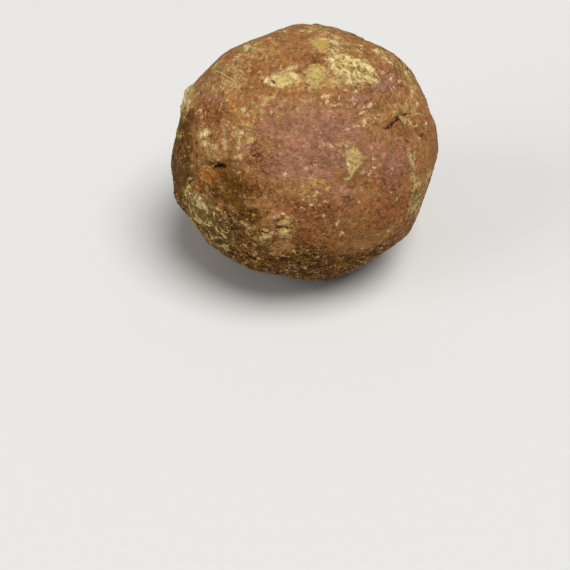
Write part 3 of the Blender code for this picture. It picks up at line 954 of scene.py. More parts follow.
def lump_middle():
    """Place of the lump's middle in the frame: the form's own box is centred on the node's box."""
    points = skin(ball_grid(MIDDLE_SQUARES, 0)[0])[0]
    middle = (NODE_LOW + NODE_HIGH - points.min(axis=0) - points.max(axis=0)) / 2
    middle[2] = NODE_LOW[2]
    return middle


MIDDLE = lump_middle()


def mesh_piece(name, points, faces, material, smooth=True, values=None):
    """A piece of the lump from arrays of points and faces, with values at its points for the material."""
    mesh = bpy.data.meshes.new(name)
    mesh.vertices.add(len(points))
    mesh.vertices.foreach_set("co", np.ascontiguousarray(points, np.float32).ravel())
    mesh.loops.add(faces.size)
    mesh.loops.foreach_set("vertex_index", np.ascontiguousarray(faces, np.int32).ravel())
    mesh.polygons.add(len(faces))
    mesh.polygons.foreach_set("loop_start", np.arange(0, faces.size, faces.shape[1], dtype=np.int32))
    mesh.update(calc_edges=True)
    for label, numbers in (values or {}).items():
        attribute = mesh.attributes.new(label, "FLOAT", "POINT")
        attribute.data.foreach_set("value", np.ascontiguousarray(numbers, np.float32))
    if smooth:
        mesh.shade_smooth()
    mesh.materials.append(material)
    piece = bpy.data.objects.new(name, mesh)
    bpy.context.scene.collection.objects.link(piece)
    return piece


def add_to_lump(piece):
    """Makes a piece ride with the lump."""
    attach(piece, BODY)


class Value:
    """A number that a shader socket gives. Python's operators on it add Math nodes."""

    def __init__(self, recipe, socket):
        self.recipe = recipe
        self.socket = socket

    def math(self, operation, *numbers):
        inputs = dict(enumerate((self, *numbers)))
        return self.recipe.node("ShaderNodeMath", {"operation": operation}, inputs)

    def __add__(self, other):
        return self.math("ADD", other)

    __radd__ = __add__

    def __mul__(self, other):
        return self.math("MULTIPLY", other)

    __rmul__ = __mul__

    def __sub__(self, other):
        return self.math("SUBTRACT", other)

    def __rsub__(self, other):
        return self.recipe.node("ShaderNodeMath", {"operation": "SUBTRACT"}, {0: other, 1: self})

    def __truediv__(self, other):
        return self.math("DIVIDE", other)

    def clamped(self):
        return self.at_least(0.0).math("MINIMUM", 1.0)

    def at_least(self, low):
        return self.math("MAXIMUM", low)

    def step(self, low, high):
        """Smooth step from 0 at low to 1 at high."""
        settings = {"interpolation_type": "SMOOTHSTEP"}
        inputs = {"Value": self, "From Min": low, "From Max": high}
        return self.recipe.node("ShaderNodeMapRange", settings, inputs)


class Recipe:
    """A material and the nodes that it is made of."""

    def __init__(self, name):
        self.material = bpy.data.materials.new(name)
        self.material.use_nodes = True
        self.tree = self.material.node_tree
        self.shader = self.tree.nodes["Principled BSDF"]

    def node(self, kind, settings=None, inputs=None, output=0):
        """Adds a node: its settings first, then its sockets' values or links. Gives one output."""
        node = self.tree.nodes.new(kind)
        for name, setting in (settings or {}).items():
            setattr(node, name, setting)
        for name, value in (inputs or {}).items():
            self.feed(node.inputs[name], value)
        return Value(self, node.outputs[output])

    def feed(self, socket, value):
        if isinstance(value, Value):
            self.tree.links.new(value.socket, socket)
        elif hasattr(value, "__len__") and len(value) == 3 and socket.type == "RGBA":
            socket.default_value = (*value, 1.0)
        else:
            socket.default_value = value

    def place(self):
        """Object coordinates, in metres."""
        return self.node("ShaderNodeTexCoord", output="Object")

    def attribute(self, name):
        return self.node("ShaderNodeAttribute", {"attribute_name": name}, output="Fac")

    def shifted(self, place, shift):
        """A place moved aside, so that two noises of one size differ."""
        inputs = {0: place, 1: (shift * 0.137, shift * 0.071, shift * -0.093)}
        return self.node("ShaderNodeVectorMath", {"operation": "ADD"}, inputs, "Vector")

    def bent(self, place, size, reach):
        """A place moved aside by noise of a size in mm, by about a third of the reach in mm."""
        inputs = {"Vector": self.shifted(place, 20), "Scale": 1 / (size * MM), "Detail": 3.0}
        drift = self.node("ShaderNodeTexNoise", None, inputs, "Color")
        inputs = {0: drift, 1: (reach * MM,) * 3, 2: place}
        return self.node("ShaderNodeVectorMath", {"operation": "MULTIPLY_ADD"}, inputs, "Vector")

    def noise(self, place, size, shift=0, detail=4.0, roughness=0.6):
        """Noise from 0 to 1 with features of a size in mm."""
        inputs = {
            "Vector": self.shifted(place, shift),
            "Scale": 1 / (size * MM),
            "Detail": detail,
            "Roughness": roughness,
        }
        return self.node("ShaderNodeTexNoise", None, inputs, "Fac")

    def stretched(self, place, factors):
        """A place times a factor along each axis."""
        return self.node("ShaderNodeVectorMath", {"operation": "MULTIPLY"}, {0: place, 1: factors}, "Vector")

    def cells(self, place, size, shift=0, output="Distance", feature="F1"):
        """Distance to the nearest of random points a size in mm apart, its colour, or depth in its cell."""
        inputs = {"Vector": self.shifted(place, shift), "Scale": 1 / (size * MM)}
        return self.node("ShaderNodeTexVoronoi", {"feature": feature}, inputs, output)

    def mix(self, share, first, second, kind="MIX"):
        """A colour between two others."""
        settings = {"data_type": "RGBA", "blend_type": kind}
        return self.node("ShaderNodeMix", settings, {0: share, 6: first, 7: second}, 2)

    def dimmed(self, color, light):
        """A colour times a number."""
        inputs = {0: color, 1: self.node("ShaderNodeCombineXYZ", None, {0: light, 1: light, 2: light})}
        return self.node("ShaderNodeVectorMath", {"operation": "MULTIPLY"}, inputs, "Vector")

    def channel(self, color, index=0):
        return self.node("ShaderNodeSeparateColor", None, {0: color}, index)

    def bump(self, height):
        """Normal for a height in metres."""
        return self.node("ShaderNodeBump", None, {"Strength": 1.0, "Distance": 1.0, "Height": height})

    def finish(self, **inputs):
        """Feeds the shader's sockets and gives the material."""
        for name, value in inputs.items():
            self.feed(self.shader.inputs[name.replace("_", " ")], value)
        return self.material


def skin_material(finish):
    """Dull red-brown set sugar: mottled ground, soft zones, dust, scales, flecks, crusts and dark holes, with
    painted shade in the holes, the crevices between scales, the relief's hollows and the lower and left
    sides.

    Each colour is laid over the ground by a share from 0 to 1: an attribute or a noise, its edge
    moved by other noises, and cut by a smooth step.
    """
    make = Recipe("jaggery_skin")
    place = make.place()
    bent_place = make.bent(place, *BEND_MM)

    def noise(name, where=bent_place):
        """A noise of the table, from 0 to 1."""
        return make.noise(where, *NOISES[name])

    broad = noise("broad", place) - 0.5
    middling, fine, drifts = (noise(name) - 0.5 for name in ("middling", "fine", "drifts"))
    grain = noise("grain", place) - 0.5
    streak = noise("streak", make.stretched(bent_place, STREAK_STRETCH)) - 0.5
    ragged = (noise("ragged") - 0.5) * RAGGED_PIXELS
    broken = (noise("broken") - 0.5) * BROKEN_PIXELS
    grit, lift, olive = (make.attribute(name) for name in ("grit", "lift", "olive"))

    def zone(name):
        """Share of a soft zone's colour."""
        gain, by_broad, by_middling, by_fine, low, high = ZONE_EDGES[name]
        moved = make.attribute(name) * gain + broad * by_broad + middling * by_middling + fine * by_fine
        return moved.step(low, high)

    def mark(name, moved=0.0):
        """Share of the colour of a crust, flake or hole."""
        by_ragged, by_broken, low, high = MARK_EDGES[name]
        return (make.attribute(name) + ragged * by_ragged + broken * by_broken + moved).step(low, high)

    def layer(name, carrier):
        """Share of a colour that a noise carries."""
        return carrier.step(*LAYER_EDGES[name])

    def mottled(tone, by_middling, by_fine, light=0.0):
        """A colour with light and dark mottles."""
        return make.dimmed(tone, middling * by_middling + fine * by_fine + 1 + light)

    red, mauve, dark = (zone(name) for name in ("red", "mauve", "dark"))
    patch = noise("patch")
    ground = make.mix(red, finish.ochre_brown, finish.red_brown)
    ground = make.mix(mauve * 0.9, ground, finish.mauve_brown)
    ground = make.mix(layer("patch", patch) * 0.35, ground, finish.red_brown)
    # The dark zones, lower band and left band lay dark brown over the ground: partly painted shade
    ground = make.mix(dark * 0.92, ground, finish.dark_brown)
    ground = make.mix(zone("orange") * 0.62, ground, finish.orange_brown)

    dust = layer("dust", noise("veil") + olive * 0.25 + drifts * 0.55) * (1 - red * 0.55) * (1 - mauve * 0.3)
    ground = make.mix(dust * (0.55 + fine * 1.6).clamped(), ground, finish.olive_dust)
    ground = make.mix(zone("ochre") * 0.62, ground, finish.ochre_dust)
    pepper = layer("pepper", noise("pepper") + olive * 0.08) * (0.5 - red * 0.3) * (1 - mauve * 0.5)
    ground = make.mix(pepper, ground, finish.olive_dust)
    shade = layer("shade", noise("shade")) * (0.12 + red * 0.22 + grit * 0.5)
    ground = make.mix(shade, ground, finish.dark_brown)

    scale_place = make.stretched(bent_place, SCALE_STRETCH)
    scale = make.cells(scale_place, *SCALES, "Color")
    inside = make.cells(scale_place, *SCALES, feature="DISTANCE_TO_EDGE")
    # Gap darkens the sunk edges between the scales: painted shade in the crevices between them
    gap = layer("gap", 1 - inside) * layer("gap patch", patch + broad)
    ground = make.mix(gap * (0.10 + red * 0.24 + grit * 0.6), ground, finish.dark_brown)
    bright = make.channel(scale, 1) + grit * 0.14 + olive * 0.05 + drifts * 0.7 + middling * 0.5
    bright = layer("bright", bright) * (1 - dark * (1 - grit) * 0.8) * (1 - red * 0.35)
    bright = bright * layer("inside", inside + fine * 2.0)
    ground = make.mix(bright * (0.75 + fine * 1.5).clamped(), ground, finish.pale_speck)
    granule = make.channel(make.cells(bent_place, *GRANULES, "Color"))
    pale = layer("pale", granule + grit * 0.06 + olive * 0.03 + drifts * 0.5)
    pale = pale * layer("granule", 1 - make.cells(bent_place, *GRANULES))
    ground = make.mix(pale * 0.75, ground, finish.pale_speck)
    sparkle = make.channel(make.cells(place, *SPARKLES, "Color")) - 0.5
    # Lift lightens the tops of the fine relief and darkens its hollows: painted shade
    light = 1 + middling * 1.2 + fine * (0.9 + grit * 1.5 + red * 0.6)
    light = light + grain * (0.9 + red * 0.8 + grit * 1.6) + lift * (0.5 + grit * 1.6)
    light = light + (make.channel(scale) - 0.5) * (0.12 + grit * 1.2)
    light = light + sparkle * (0.18 + grit * 0.6 + red * 0.25) + streak * (0.5 + red * 0.7 + grit * 1.4)
    ground = make.dimmed(ground, light.at_least(DIMMEST))

    ground = make.mix(mark("fleck") * 0.8, ground, mottled(finish.fleck_cream, 0.8, 1.6))
    # The green crust is pale on its ridges and olive shadow between them, and lift adds to the ridges: partly
    # painted shade
    ridge = 1 - (noise("ridge") - 0.5).math("ABSOLUTE") * 9.0 + lift * 2.2
    hollow = make.mix(layer("shadow", grit), finish.pore_brown, finish.olive_shadow)
    green_tone = make.mix(layer("ridge side", ridge), hollow, finish.green_crust)
    green_tone = make.mix(layer("ridge top", ridge), green_tone, finish.pale_crust)
    green = mark("green")
    ground = make.mix(green * (0.85 + fine * 1.2).clamped(), ground, mottled(green_tone, 1.2, 1.2))

    core = mark("core")
    tan = mark("tan", broken * grit * 1.2)
    tan_tone = make.mix(layer("yellow", middling), finish.tan_crust, finish.yellow_crust)
    tan_tone = make.mix(core * 0.6, tan_tone, finish.core_yellow)
    crumbly = (grain + sparkle * 0.4) * (0.5 + grit * 3.0) + fine * grit * 1.8 + grit * 0.3
    ground = make.mix(tan * (0.88 + fine * 2.0).clamped(), ground, mottled(tan_tone, 0.8, 0.9, crumbly))
    flake_middle = layer("flake middle", make.attribute("flake") + middling * 12 + fine * 6)
    flake_tone = make.mix(flake_middle, finish.tan_crust, finish.flake_yellow)
    ground = make.mix(mark("flake"), ground, mottled(flake_tone, 0.0, 0.8))

    cream_field = make.attribute("cream")
    cream = mark("cream")
    pores = noise("pores")
    pore = layer("pore", layer("deep in cream", cream_field) * 0.085 - pores - lift * 0.15)
    pore = (pore * 0.85 + mark("pore")).clamped()
    pore_tone = make.mix(layer("pore tone", fine), finish.pore_brown, finish.tan_crust)
    blanched = layer("blanched", cream_field * 0.3 + middling * 4.0 + fine * 2.0)
    cream_tone = make.mix(blanched, finish.pale_speck, finish.cream_crust)
    cream_tone = make.mix(pore * (1 - core * 0.7), cream_tone, pore_tone)
    cream_tone = make.mix(core * 0.75, cream_tone, finish.core_yellow)
    cream_tone = mottled(cream_tone, 0.9, 1.0, grain * 0.5)
    ground = make.mix(cream * (0.86 + fine * 1.8 + middling).clamped(), ground, cream_tone)

    # Shade tint multiplies the colour wherever dark lies: painted shade
    ground = make.mix(dark * 0.9, ground, make.mix(1.0, ground, finish.shade_tint, "MULTIPLY"))
    # Near-black painted shade inside the pits, cracks, slits and gaps
    ground = make.mix(mark("hole") * 0.92, ground, finish.hole_shade_brown)

    crusted = (green + tan * 0.4 + cream).clamped()
    height = fine * 0.45 + grain * 0.12 + crusted * (pores - 0.5) * 0.7
    height = height + (pale + bright) * 0.12 + inside * grit * 0.25 - gap * 0.08
    rough = 0.78 + crusted * 0.12 + middling * 0.5
    return make.finish(
        Base_Color=ground,
        Roughness=rough.clamped(),
        Normal=make.bump(height * MM),
        Specular_IOR_Level=0.08,
    )


def grain_material(name, first, second, roughness):
    """Loose bits of one kind: each has its own tone between two colours, by its own value."""
    make = Recipe(name)
    tone = make.attribute("tone")
    fine = make.noise(make.place(), 0.5, 1, 2.0)
    color = make.mix(tone, first, second)
    color = make.dimmed(color, (fine * 2.0 - 0.1).at_least(DIMMEST))
    return make.finish(
        Base_Color=color,
        Roughness=roughness + (fine - 0.5) * 0.2,
        Specular_IOR_Level=0.4,
    )


def normals(directions):
    """Outward normals of the skin, from two short steps aside over it."""
    aside = unit(np.cross(directions, ASLANT))
    ahead = np.cross(directions, aside)
    here = skin(directions)[0]
    first = skin(unit(directions + aside * NORMAL_REACH))[0] - here
    second = skin(unit(directions + ahead * NORMAL_REACH))[0] - here
    return unit(np.cross(first, second))


def turned(count, draw):
    """Random turns as matrices, from unit quaternions."""
    w, x, y, z = unit(draw.normal(size=(count, 4))).T
    rows = (
        (1 - 2 * (y * y + z * z), 2 * (x * y - z * w), 2 * (x * z + y * w)),
        (2 * (x * y + z * w), 1 - 2 * (x * x + z * z), 2 * (y * z - x * w)),
        (2 * (x * z - y * w), 2 * (y * z + x * w), 1 - 2 * (x * x + y * y)),
    )
    return np.moveaxis(np.array(rows), -1, 0)


def scattered(draw, wanted, density):
    """Directions drawn evenly over the ball and kept where a density from 0 to 1 lets them."""
    directions = unit(draw.normal(size=(wanted * TRIES_PER_BIT, 3)))
    chance = density(directions)
    return directions[draw.uniform(size=len(directions)) < chance][:wanted]


def chips(directions, sizes, draw):
    """Points and faces of eight-sided chips on the skin: six corners on uneven axes, turned at random.

    Each corner stands out from the chip's middle by the chip's size times its own share; the
    middle lies over the skin by CHIP_RISE times the size, so that the chip's foot is sunk in.
    """
    corners = np.array(((1, 0, 0), (-1, 0, 0), (0, 1, 0), (0, -1, 0), (0, 0, 1), (0, 0, -1)), float)
    sides = np.array(((0, 2, 4), (2, 1, 4), (1, 3, 4), (3, 0, 4), (2, 0, 5), (1, 2, 5), (3, 1, 5), (0, 3, 5)))
    count = len(directions)
    shares = draw.uniform(*CHIP_REACH, size=(count, CHIP_CORNERS, 1))
    bodies = corners * shares * sizes[:, None, None]
    bodies = np.einsum("nij,nkj->nki", turned(count, draw), bodies)
    places = skin(directions)[0] + normals(directions) * (sizes * CHIP_RISE)[:, None]
    points = places[:, None, :] + bodies
    faces = sides + CHIP_CORNERS * np.arange(count)[:, None, None]
    return points.reshape(-1, 3), faces.reshape(-1, 3)


def flake_outlines(draw, count, corners):
    """Ragged outlines about one out: evenly turned corners with their own reach."""
    turns = np.linspace(0, 2 * math.pi, corners, endpoint=False)
    turns = turns + draw.uniform(-FLAKE_TURN, FLAKE_TURN, size=(count, corners))
    reach = draw.uniform(*FLAKE_REACH, size=(count, corners))
    return np.cos(turns) * reach, np.sin(turns) * reach


def flake_bodies(outer, thickness):
    """Points and faces of thin flakes from their outlines' directions, one row for each flake.

    The rim lies just under the skin, a ring FLAKE_TOP of the way out stands up by the
    thickness, and the middle a little less; a point below closes the underside.
    """
    count, corners = outer.shape[:2]
    middles = unit(outer.mean(axis=1, keepdims=True))
    inner = unit(middles + (outer - middles) * FLAKE_TOP)
    rings = np.concatenate([outer, inner, middles, middles], axis=1)
    flat = rings.reshape(-1, 3)
    lift = np.concatenate([
        np.full((count, corners), -FLAKE_RIM_DEPTH),
        np.repeat(thickness[:, None], corners, axis=1),
        thickness[:, None] * FLAKE_MIDDLE,
        np.full((count, 1), -FLAKE_FOOT_DEPTH),
    ], axis=1).reshape(-1, 1)
    points = skin(flat)[0] + flat * lift
    ring = np.arange(corners)
    after = (ring + 1) % corners
    top = 2 * corners
    faces = np.concatenate([
        np.stack([ring, after, corners + after], axis=1),
        np.stack([ring, corners + after, corners + ring], axis=1),
        np.stack([corners + ring, corners + after, np.full(corners, top)], axis=1),
        np.stack([after, ring, np.full(corners, top + 1)], axis=1),
    ])
    stride = 2 * corners + 2
    faces = faces + stride * np.arange(count)[:, None, None]
    return points, faces.reshape(-1, 3), stride


def tube(path, radii, sides):
    """Points and faces of a tube with closed ends: a ring of sides round each place on a path."""
    along = unit(np.gradient(path, axis=0))
    first = unit(np.cross(along, unit(path)))
    second = np.cross(along, first)
    turns = np.linspace(0, 2 * math.pi, sides, endpoint=False)
    rings = np.cos(turns)[None, :, None] * first[:, None] + np.sin(turns)[None, :, None] * second[:, None]
    rings = path[:, None] + rings * radii[:, None, None]
    points = np.concatenate([rings.reshape(-1, 3), path[:1], path[-1:]])
    ring = np.arange(sides)
    after = (ring + 1) % sides
    starts = np.arange(len(path) - 1)[:, None] * sides
    sheets = [
        np.stack([starts + ring, starts + after, starts + sides + after], axis=-1).reshape(-1, 3),
        np.stack([starts + ring, starts + sides + after, starts + sides + ring], axis=-1).reshape(-1, 3),
    ]
    last = (len(path) - 1) * sides
    near = len(path) * sides
    sheets.append(np.stack([after, ring, np.full(sides, near)], axis=1))
    sheets.append(np.stack([last + ring, last + after, np.full(sides, near + 1)], axis=1))
    return points, np.concatenate(sheets)


def color(name, description, default):
    """A colour in the sidebar, and as a property of the scene."""
    return bpy.props.FloatVectorProperty(name=name, description=description, subtype="COLOR", default=default)


def number(kind, name, description, default, **limits):
    """A size or count in the sidebar, and as a property of the scene."""
    return kind(name=name, description=description, default=default, **limits)


class LumpFinish(bpy.types.PropertyGroup):
    """Colours of the lump."""

    red_brown: color("Red brown", "Bare set sugar", (0.262, 0.096, 0.033))
    ochre_brown: color("Ochre brown", "Set sugar under thin dust", (0.300, 0.135, 0.045))
    mauve_brown: color("Mauve brown", "Worn bloom in the middle", (0.318, 0.149, 0.098))
    # Dark brown: the sugar's darker tone, and painted shade on the sides and underside
    dark_brown: color("Dark brown", "Dark olive sides and underside", (0.098, 0.042, 0.005))
    olive_dust: color("Olive dust", "Dust that lies in a veil", (0.46, 0.30, 0.110))
    ochre_dust: color("Ochre dust", "Golden blots", (0.44, 0.245, 0.065))
    olive_shadow: color("Olive shadow", "Pores of the green crust", (0.085, 0.048, 0.012))
    green_crust: color("Green crust", "Pale grey-green crust", (0.33, 0.23, 0.085))
    tan_crust: color("Tan crust", "Smooth tan plates and stains", (0.43, 0.292, 0.115))
    yellow_crust: color("Yellow crust", "Yellow in the tan plates", (0.47, 0.340, 0.115))
    core_yellow: color("Core yellow", "Smooth yellow middles of crusts", (0.50, 0.385, 0.120))
    cream_crust: color("Cream crust", "Pale dry crust", (0.68, 0.545, 0.235))
    pale_speck: color("Pale speck", "Pale specks in the sugar", (0.50, 0.352, 0.175))
    orange_brown: color("Orange brown", "Fresh sugar below the pit", (0.48, 0.165, 0.036))
    pale_crust: color("Pale crust", "Palest parts of the green crust", (0.66, 0.54, 0.26))
    flake_yellow: color("Flake yellow", "The yellow flake at the top", (0.46, 0.315, 0.068))
    pore_brown: color("Pore brown", "Pores of the pale crusts", (0.24, 0.15, 0.045))
    # Shade tint: painted shade over the dark sides
    shade_tint: color("Shade tint", "Tint of all that lies on the dark sides", (0.95, 0.86, 0.60))
    # Painted shade inside the pits and cracks
    hole_shade_brown: color("Hole brown", "Inside of pits and cracks", (0.035, 0.007, 0.001))
    fleck_cream: color("Fleck cream", "Small pale flakes and grains", (0.64, 0.47, 0.26))
    straw: color("Straw", "Straw fibres", (0.58, 0.42, 0.20))


class LumpSizes(bpy.types.PropertyGroup):
    """Sizes and numbers of the loose bits on the lump."""

    skin_squares: number(
        bpy.props.IntProperty, "Skin squares", "Squares along each side of the skin's grid",
        SKIN_SQUARES, min=16)
    grain_count: number(
        bpy.props.IntProperty, "Grains", "Sugar grains stuck on the lump", GRAINS, min=0)
    crumb_count: number(
        bpy.props.IntProperty, "Crumbs", "Dark crumbs stuck on the lump", CRUMBS, min=0)
    flake_count: number(
        bpy.props.IntProperty, "Loose flakes", "Small flakes besides those placed by hand",
        LOOSE_FLAKES, min=0)


class StageLook(bpy.types.PropertyGroup):
    """The floor and the lights."""

    floor_color: color("Floor", "Colour of the plain floor", (0.66, 0.66, 0.65))
    floor_size: number(
        bpy.props.FloatProperty, "Floor size", "Side of the floor", 40.0, unit="LENGTH")
    key_strength: number(
        bpy.props.FloatProperty, "Key light", "Strength of the wide lamp overhead", 3.15, min=0)
    sky_strength: number(
        bpy.props.FloatProperty, "Sky light", "Strength of the widest lamp, which lightens the shadows",
        0.55, min=0)
    fill_strength: number(
        bpy.props.FloatProperty, "Fill light", "Strength of the wide lamp at the left", 1.0, min=0)
    backdrop: number(
        bpy.props.FloatProperty, "Backdrop", "Brightness beyond the floor, which lights nothing", 0.8, min=0)


def grit_density(directions):
    """Where loose bits stick, from 0 to 1: thick on grit, thin and in drifts elsewhere, none at the foot."""
    points = mass(directions)
    marks = fields(directions, points)
    drifts = step(cloud(points, 5, 91) * cloud(points, 1.8, 92), 0.22, 0.5)
    thick = 0.05 + 0.5 * marks["grit"] ** 2
    thick += 0.15 * step(marks["green"], -2, 2) + 0.2 * marks["olive"]
    above_foot = step(points[:, 2] + FOOT_DROP, *CLEAR_OF_FOOT)
    return thick * (0.12 + 0.88 * drifts) * above_foot


class LUMP_OT_skin(bpy.types.Operator):
    """Makes the lump's skin and its material"""

    bl_idname = "lump.skin"
    bl_label = "Skin"

    def execute(self, context):
        directions, faces = ball_grid(context.scene.lump_sizes.skin_squares, SKIN_CROWD)
        points, marks = skin(directions)
        material = skin_material(context.scene.lump_finish)
        piece = mesh_piece("lump_skin", points + MIDDLE, faces, material, values=marks)
        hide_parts(NODE)
        add_to_lump(piece)
        return {"FINISHED"}


class LUMP_OT_flakes(bpy.types.Operator):
    """Makes the small pale flakes, those given one by one and loose ones"""

    bl_idname = "lump.flakes"
    bl_label = "Pale flakes"

    def execute(self, context):
        finish = context.scene.lump_finish
        draw = np.random.default_rng(FLAKE_SEED)
        columns, rows, lengths, widths, slopes = np.array(PALE_FLAKES).T[:, :, None]
        across, down = flake_outlines(draw, len(PALE_FLAKES), FLAKE_SIDES)
        across = across * lengths * PLACED_SHARE
        down = down * widths * PLACED_SHARE
        turns = np.radians(slopes)
        placed = seen(columns + across * np.cos(turns) - down * np.sin(turns),
                      rows + across * np.sin(turns) + down * np.cos(turns))[:, ::-1]
        middles = scattered(draw, context.scene.lump_sizes.flake_count, grit_density)
        spread = LOOSE_FLAKE_MM[1] - LOOSE_FLAKE_MM[0]
        reach = LOOSE_FLAKE_MM[0] + spread * draw.uniform(size=(len(middles), 1)) ** MOSTLY_SMALL
        reach = reach * MM / MEAN_RADIUS
        across, down = flake_outlines(draw, len(middles), FLAKE_SIDES)
        aside = unit(np.cross(middles, draw.normal(size=middles.shape)))
        ahead = np.cross(middles, aside)
        thin = draw.uniform(*LOOSE_THIN, size=(len(middles), 1))
        loose = middles[:, None] + aside[:, None] * (across * reach)[..., None]
        loose = unit(loose + ahead[:, None] * (down * reach * thin)[..., None])
        outer = np.concatenate([placed, loose])
        thickness = draw.uniform(*FLAKE_THICK_MM, size=len(outer)) * MM
        points, faces, stride = flake_bodies(outer, thickness)
        tones = (draw.uniform(*PLACED_TONES, len(placed)), draw.uniform(*LOOSE_TONES, len(loose)))
        material = grain_material("pale_flake", finish.olive_dust, finish.fleck_cream, FLAKE_ROUGHNESS)
        piece = mesh_piece("pale_flakes", points + MIDDLE, faces, material,
                           values={"tone": np.repeat(np.concatenate(tones), stride)})
        add_to_lump(piece)
        return {"FINISHED"}


class LUMP_OT_grains(bpy.types.Operator):
    """Makes the sugar grains and the dark crumbs that stick to the lump"""

    bl_idname = "lump.grains"
    bl_label = "Grains and crumbs"

    def execute(self, context):
        finish = context.scene.lump_finish
        sizes = context.scene.lump_sizes
        grain_tones = (finish.ochre_brown, finish.fleck_cream)
        crumb_tones = (finish.dark_brown, finish.red_brown)
        kinds = (
            ("sugar_grains", sizes.grain_count, GRAIN_MM, GRAIN_SEED, grain_tones, GRAIN_ROUGHNESS),
            ("dark_crumbs", sizes.crumb_count, CRUMB_MM, CRUMB_SEED, crumb_tones, CRUMB_ROUGHNESS),
        )
        for name, count, spread, seed, between, roughness in kinds:
            draw = np.random.default_rng(seed)
            directions = scattered(draw, count, grit_density)
            size = spread[0] + (spread[1] - spread[0]) * draw.uniform(size=len(directions)) ** MOSTLY_SMALL
            points, faces = chips(directions, size * MM, draw)
            tones = np.repeat(draw.uniform(size=len(directions)) ** MOSTLY_FIRST, CHIP_CORNERS)
            material = grain_material(name, *between, roughness)
            piece = mesh_piece(name, points + MIDDLE, faces, material, smooth=False, values={"tone": tones})
            add_to_lump(piece)
        return {"FINISHED"}


class LUMP_OT_fibres(bpy.types.Operator):
    """Makes the straw fibres stuck on the lump"""

    bl_idname = "lump.fibres"
    bl_label = "Straw fibres"

    def execute(self, context):
        all_points = []
        all_faces = []
        for corners, radius in FIBRES.values():
            columns, rows = np.array(corners, float).T
            knots = np.linspace(0, 1, len(corners))
            along = np.linspace(0, 1, FIBRE_STATIONS)
            directions = seen(np.interp(along, knots, columns), np.interp(along, knots, rows))
            path = skin(directions)[0] + directions * (radius * FIBRE_RISE * MM)
            path[1:-1] = (path[:-2] + path[1:-1] * 2 + path[2:]) / 4
            radii = radius * MM * (1 - FIBRE_TAPER * (2 * along - 1) ** 4)
            points, faces = tube(path, radii, FIBRE_SIDES)
            all_faces.append(faces + sum(len(points) for points in all_points))
            all_points.append(points)
        points = np.concatenate(all_points)
        straw = context.scene.lump_finish.straw
        material = grain_material("straw", straw, straw, STRAW_ROUGHNESS)
        tones = np.full(len(points), 0.5)
        piece = mesh_piece("straw_fibres", points + MIDDLE, np.concatenate(all_faces), material,
                           values={"tone": tones})
        add_to_lump(piece)
        return {"FINISHED"}


def floor_material(color):
    """Plain pale matt floor with the faintest grain."""
    make = Recipe("pale_floor")
    fine = make.noise(make.place(), 3, 1, 2.0)
    return make.finish(Base_Color=make.dimmed(color, 0.99 + fine * 0.02), Roughness=0.9)


def soft_sun(name, toward, strength, spread, tint):
    """A wide distant lamp that shines from a direction, so that the floor is evenly lit."""
    lamp = bpy.data.lights.new(name, "SUN")
    lamp.energy = strength
    lamp.angle = math.radians(spread)
    lamp.color = tint
    holder = bpy.data.objects.new(name, lamp)
    holder.rotation_euler = Vector(toward).to_track_quat("Z", "Y").to_euler()
    bpy.context.scene.collection.objects.link(holder)


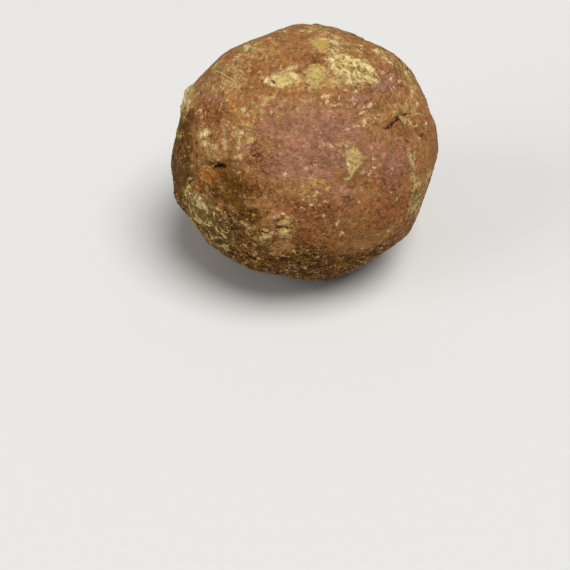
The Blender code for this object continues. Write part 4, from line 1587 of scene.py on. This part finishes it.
class LUMP_OT_stage(bpy.types.Operator):
    """Makes the floor, the lights and the camera"""

    bl_idname = "lump.stage"
    bl_label = "Stage"

    def execute(self, context):
        look = context.scene.lump_stage
        half = look.floor_size / 2
        corners = np.array(((-half, -half, 0), (half, -half, 0), (half, half, 0), (-half, half, 0)))
        sheet = np.array(((0, 1, 2, 3),))
        floor = mesh_piece("floor", corners, sheet, floor_material(look.floor_color), False)
        strengths = (look.key_strength, look.sky_strength, look.fill_strength)
        for (name, (toward, spread, tint)), strength in zip(LAMPS.items(), strengths):
            soft_sun(name, toward, strength, spread, tint)
        world = bpy.data.worlds.new("studio")
        context.scene.world = world
        world.use_nodes = True
        world.node_tree.nodes["Background"].inputs["Color"].default_value = (1, 1, 1, 1)
        world.node_tree.nodes["Background"].inputs["Strength"].default_value = look.backdrop
        world.cycles_visibility.diffuse = False
        world.cycles_visibility.glossy = False
        context.scene.view_settings.view_transform = "Standard"
        camera = bpy.data.cameras.new("camera")
        camera.sensor_width = SENSOR_MM
        camera.lens = SENSOR_MM * FOCAL_PIXELS / PICTURE_PIXELS
        camera.clip_start = 0.01
        right, up, ahead = eye_axes()
        eye = MIDDLE + (0, 0, FOOT_DROP) + eye_place()
        holder = bpy.data.objects.new("camera", camera)
        turn = np.stack([right, up, -ahead], axis=1)
        rows = [(*row, spot) for row, spot in zip(turn, eye)]
        holder.matrix_world = Matrix(rows + [(0, 0, 0, 1)])
        context.scene.collection.objects.link(holder)
        context.scene.camera = holder
        return {"FINISHED"}


STEPS = (LUMP_OT_skin, LUMP_OT_flakes, LUMP_OT_grains, LUMP_OT_fibres, LUMP_OT_stage)


class LUMP_PT_maker(bpy.types.Panel):
    """Lists the steps that make the lump"""

    bl_label = "Jaggery lump"
    bl_idname = "LUMP_PT_maker"
    bl_space_type = "VIEW_3D"
    bl_region_type = "UI"
    bl_category = "Jaggery"

    def draw(self, context):
        for operator in STEPS:
            self.layout.operator(operator.bl_idname)
        for group in (context.scene.lump_sizes, context.scene.lump_finish, context.scene.lump_stage):
            for name in group.bl_rna.properties.keys():
                if name not in ("rna_type", "name"):
                    self.layout.prop(group, name)


CLASSES = (LumpFinish, LumpSizes, StageLook, *STEPS, LUMP_PT_maker)


def register():
    for kind in CLASSES:
        bpy.utils.register_class(kind)
    bpy.types.Scene.lump_finish = bpy.props.PointerProperty(type=LumpFinish)
    bpy.types.Scene.lump_sizes = bpy.props.PointerProperty(type=LumpSizes)
    bpy.types.Scene.lump_stage = bpy.props.PointerProperty(type=StageLook)


def unregister():
    del bpy.types.Scene.lump_stage
    del bpy.types.Scene.lump_sizes
    del bpy.types.Scene.lump_finish
    for kind in reversed(CLASSES):
        bpy.utils.unregister_class(kind)


def main():
    register()
    bpy.ops.lump.skin()
    bpy.ops.lump.flakes()
    bpy.ops.lump.grains()
    bpy.ops.lump.fibres()
    bpy.ops.lump.stage()


if __name__ == "__main__":
    main()
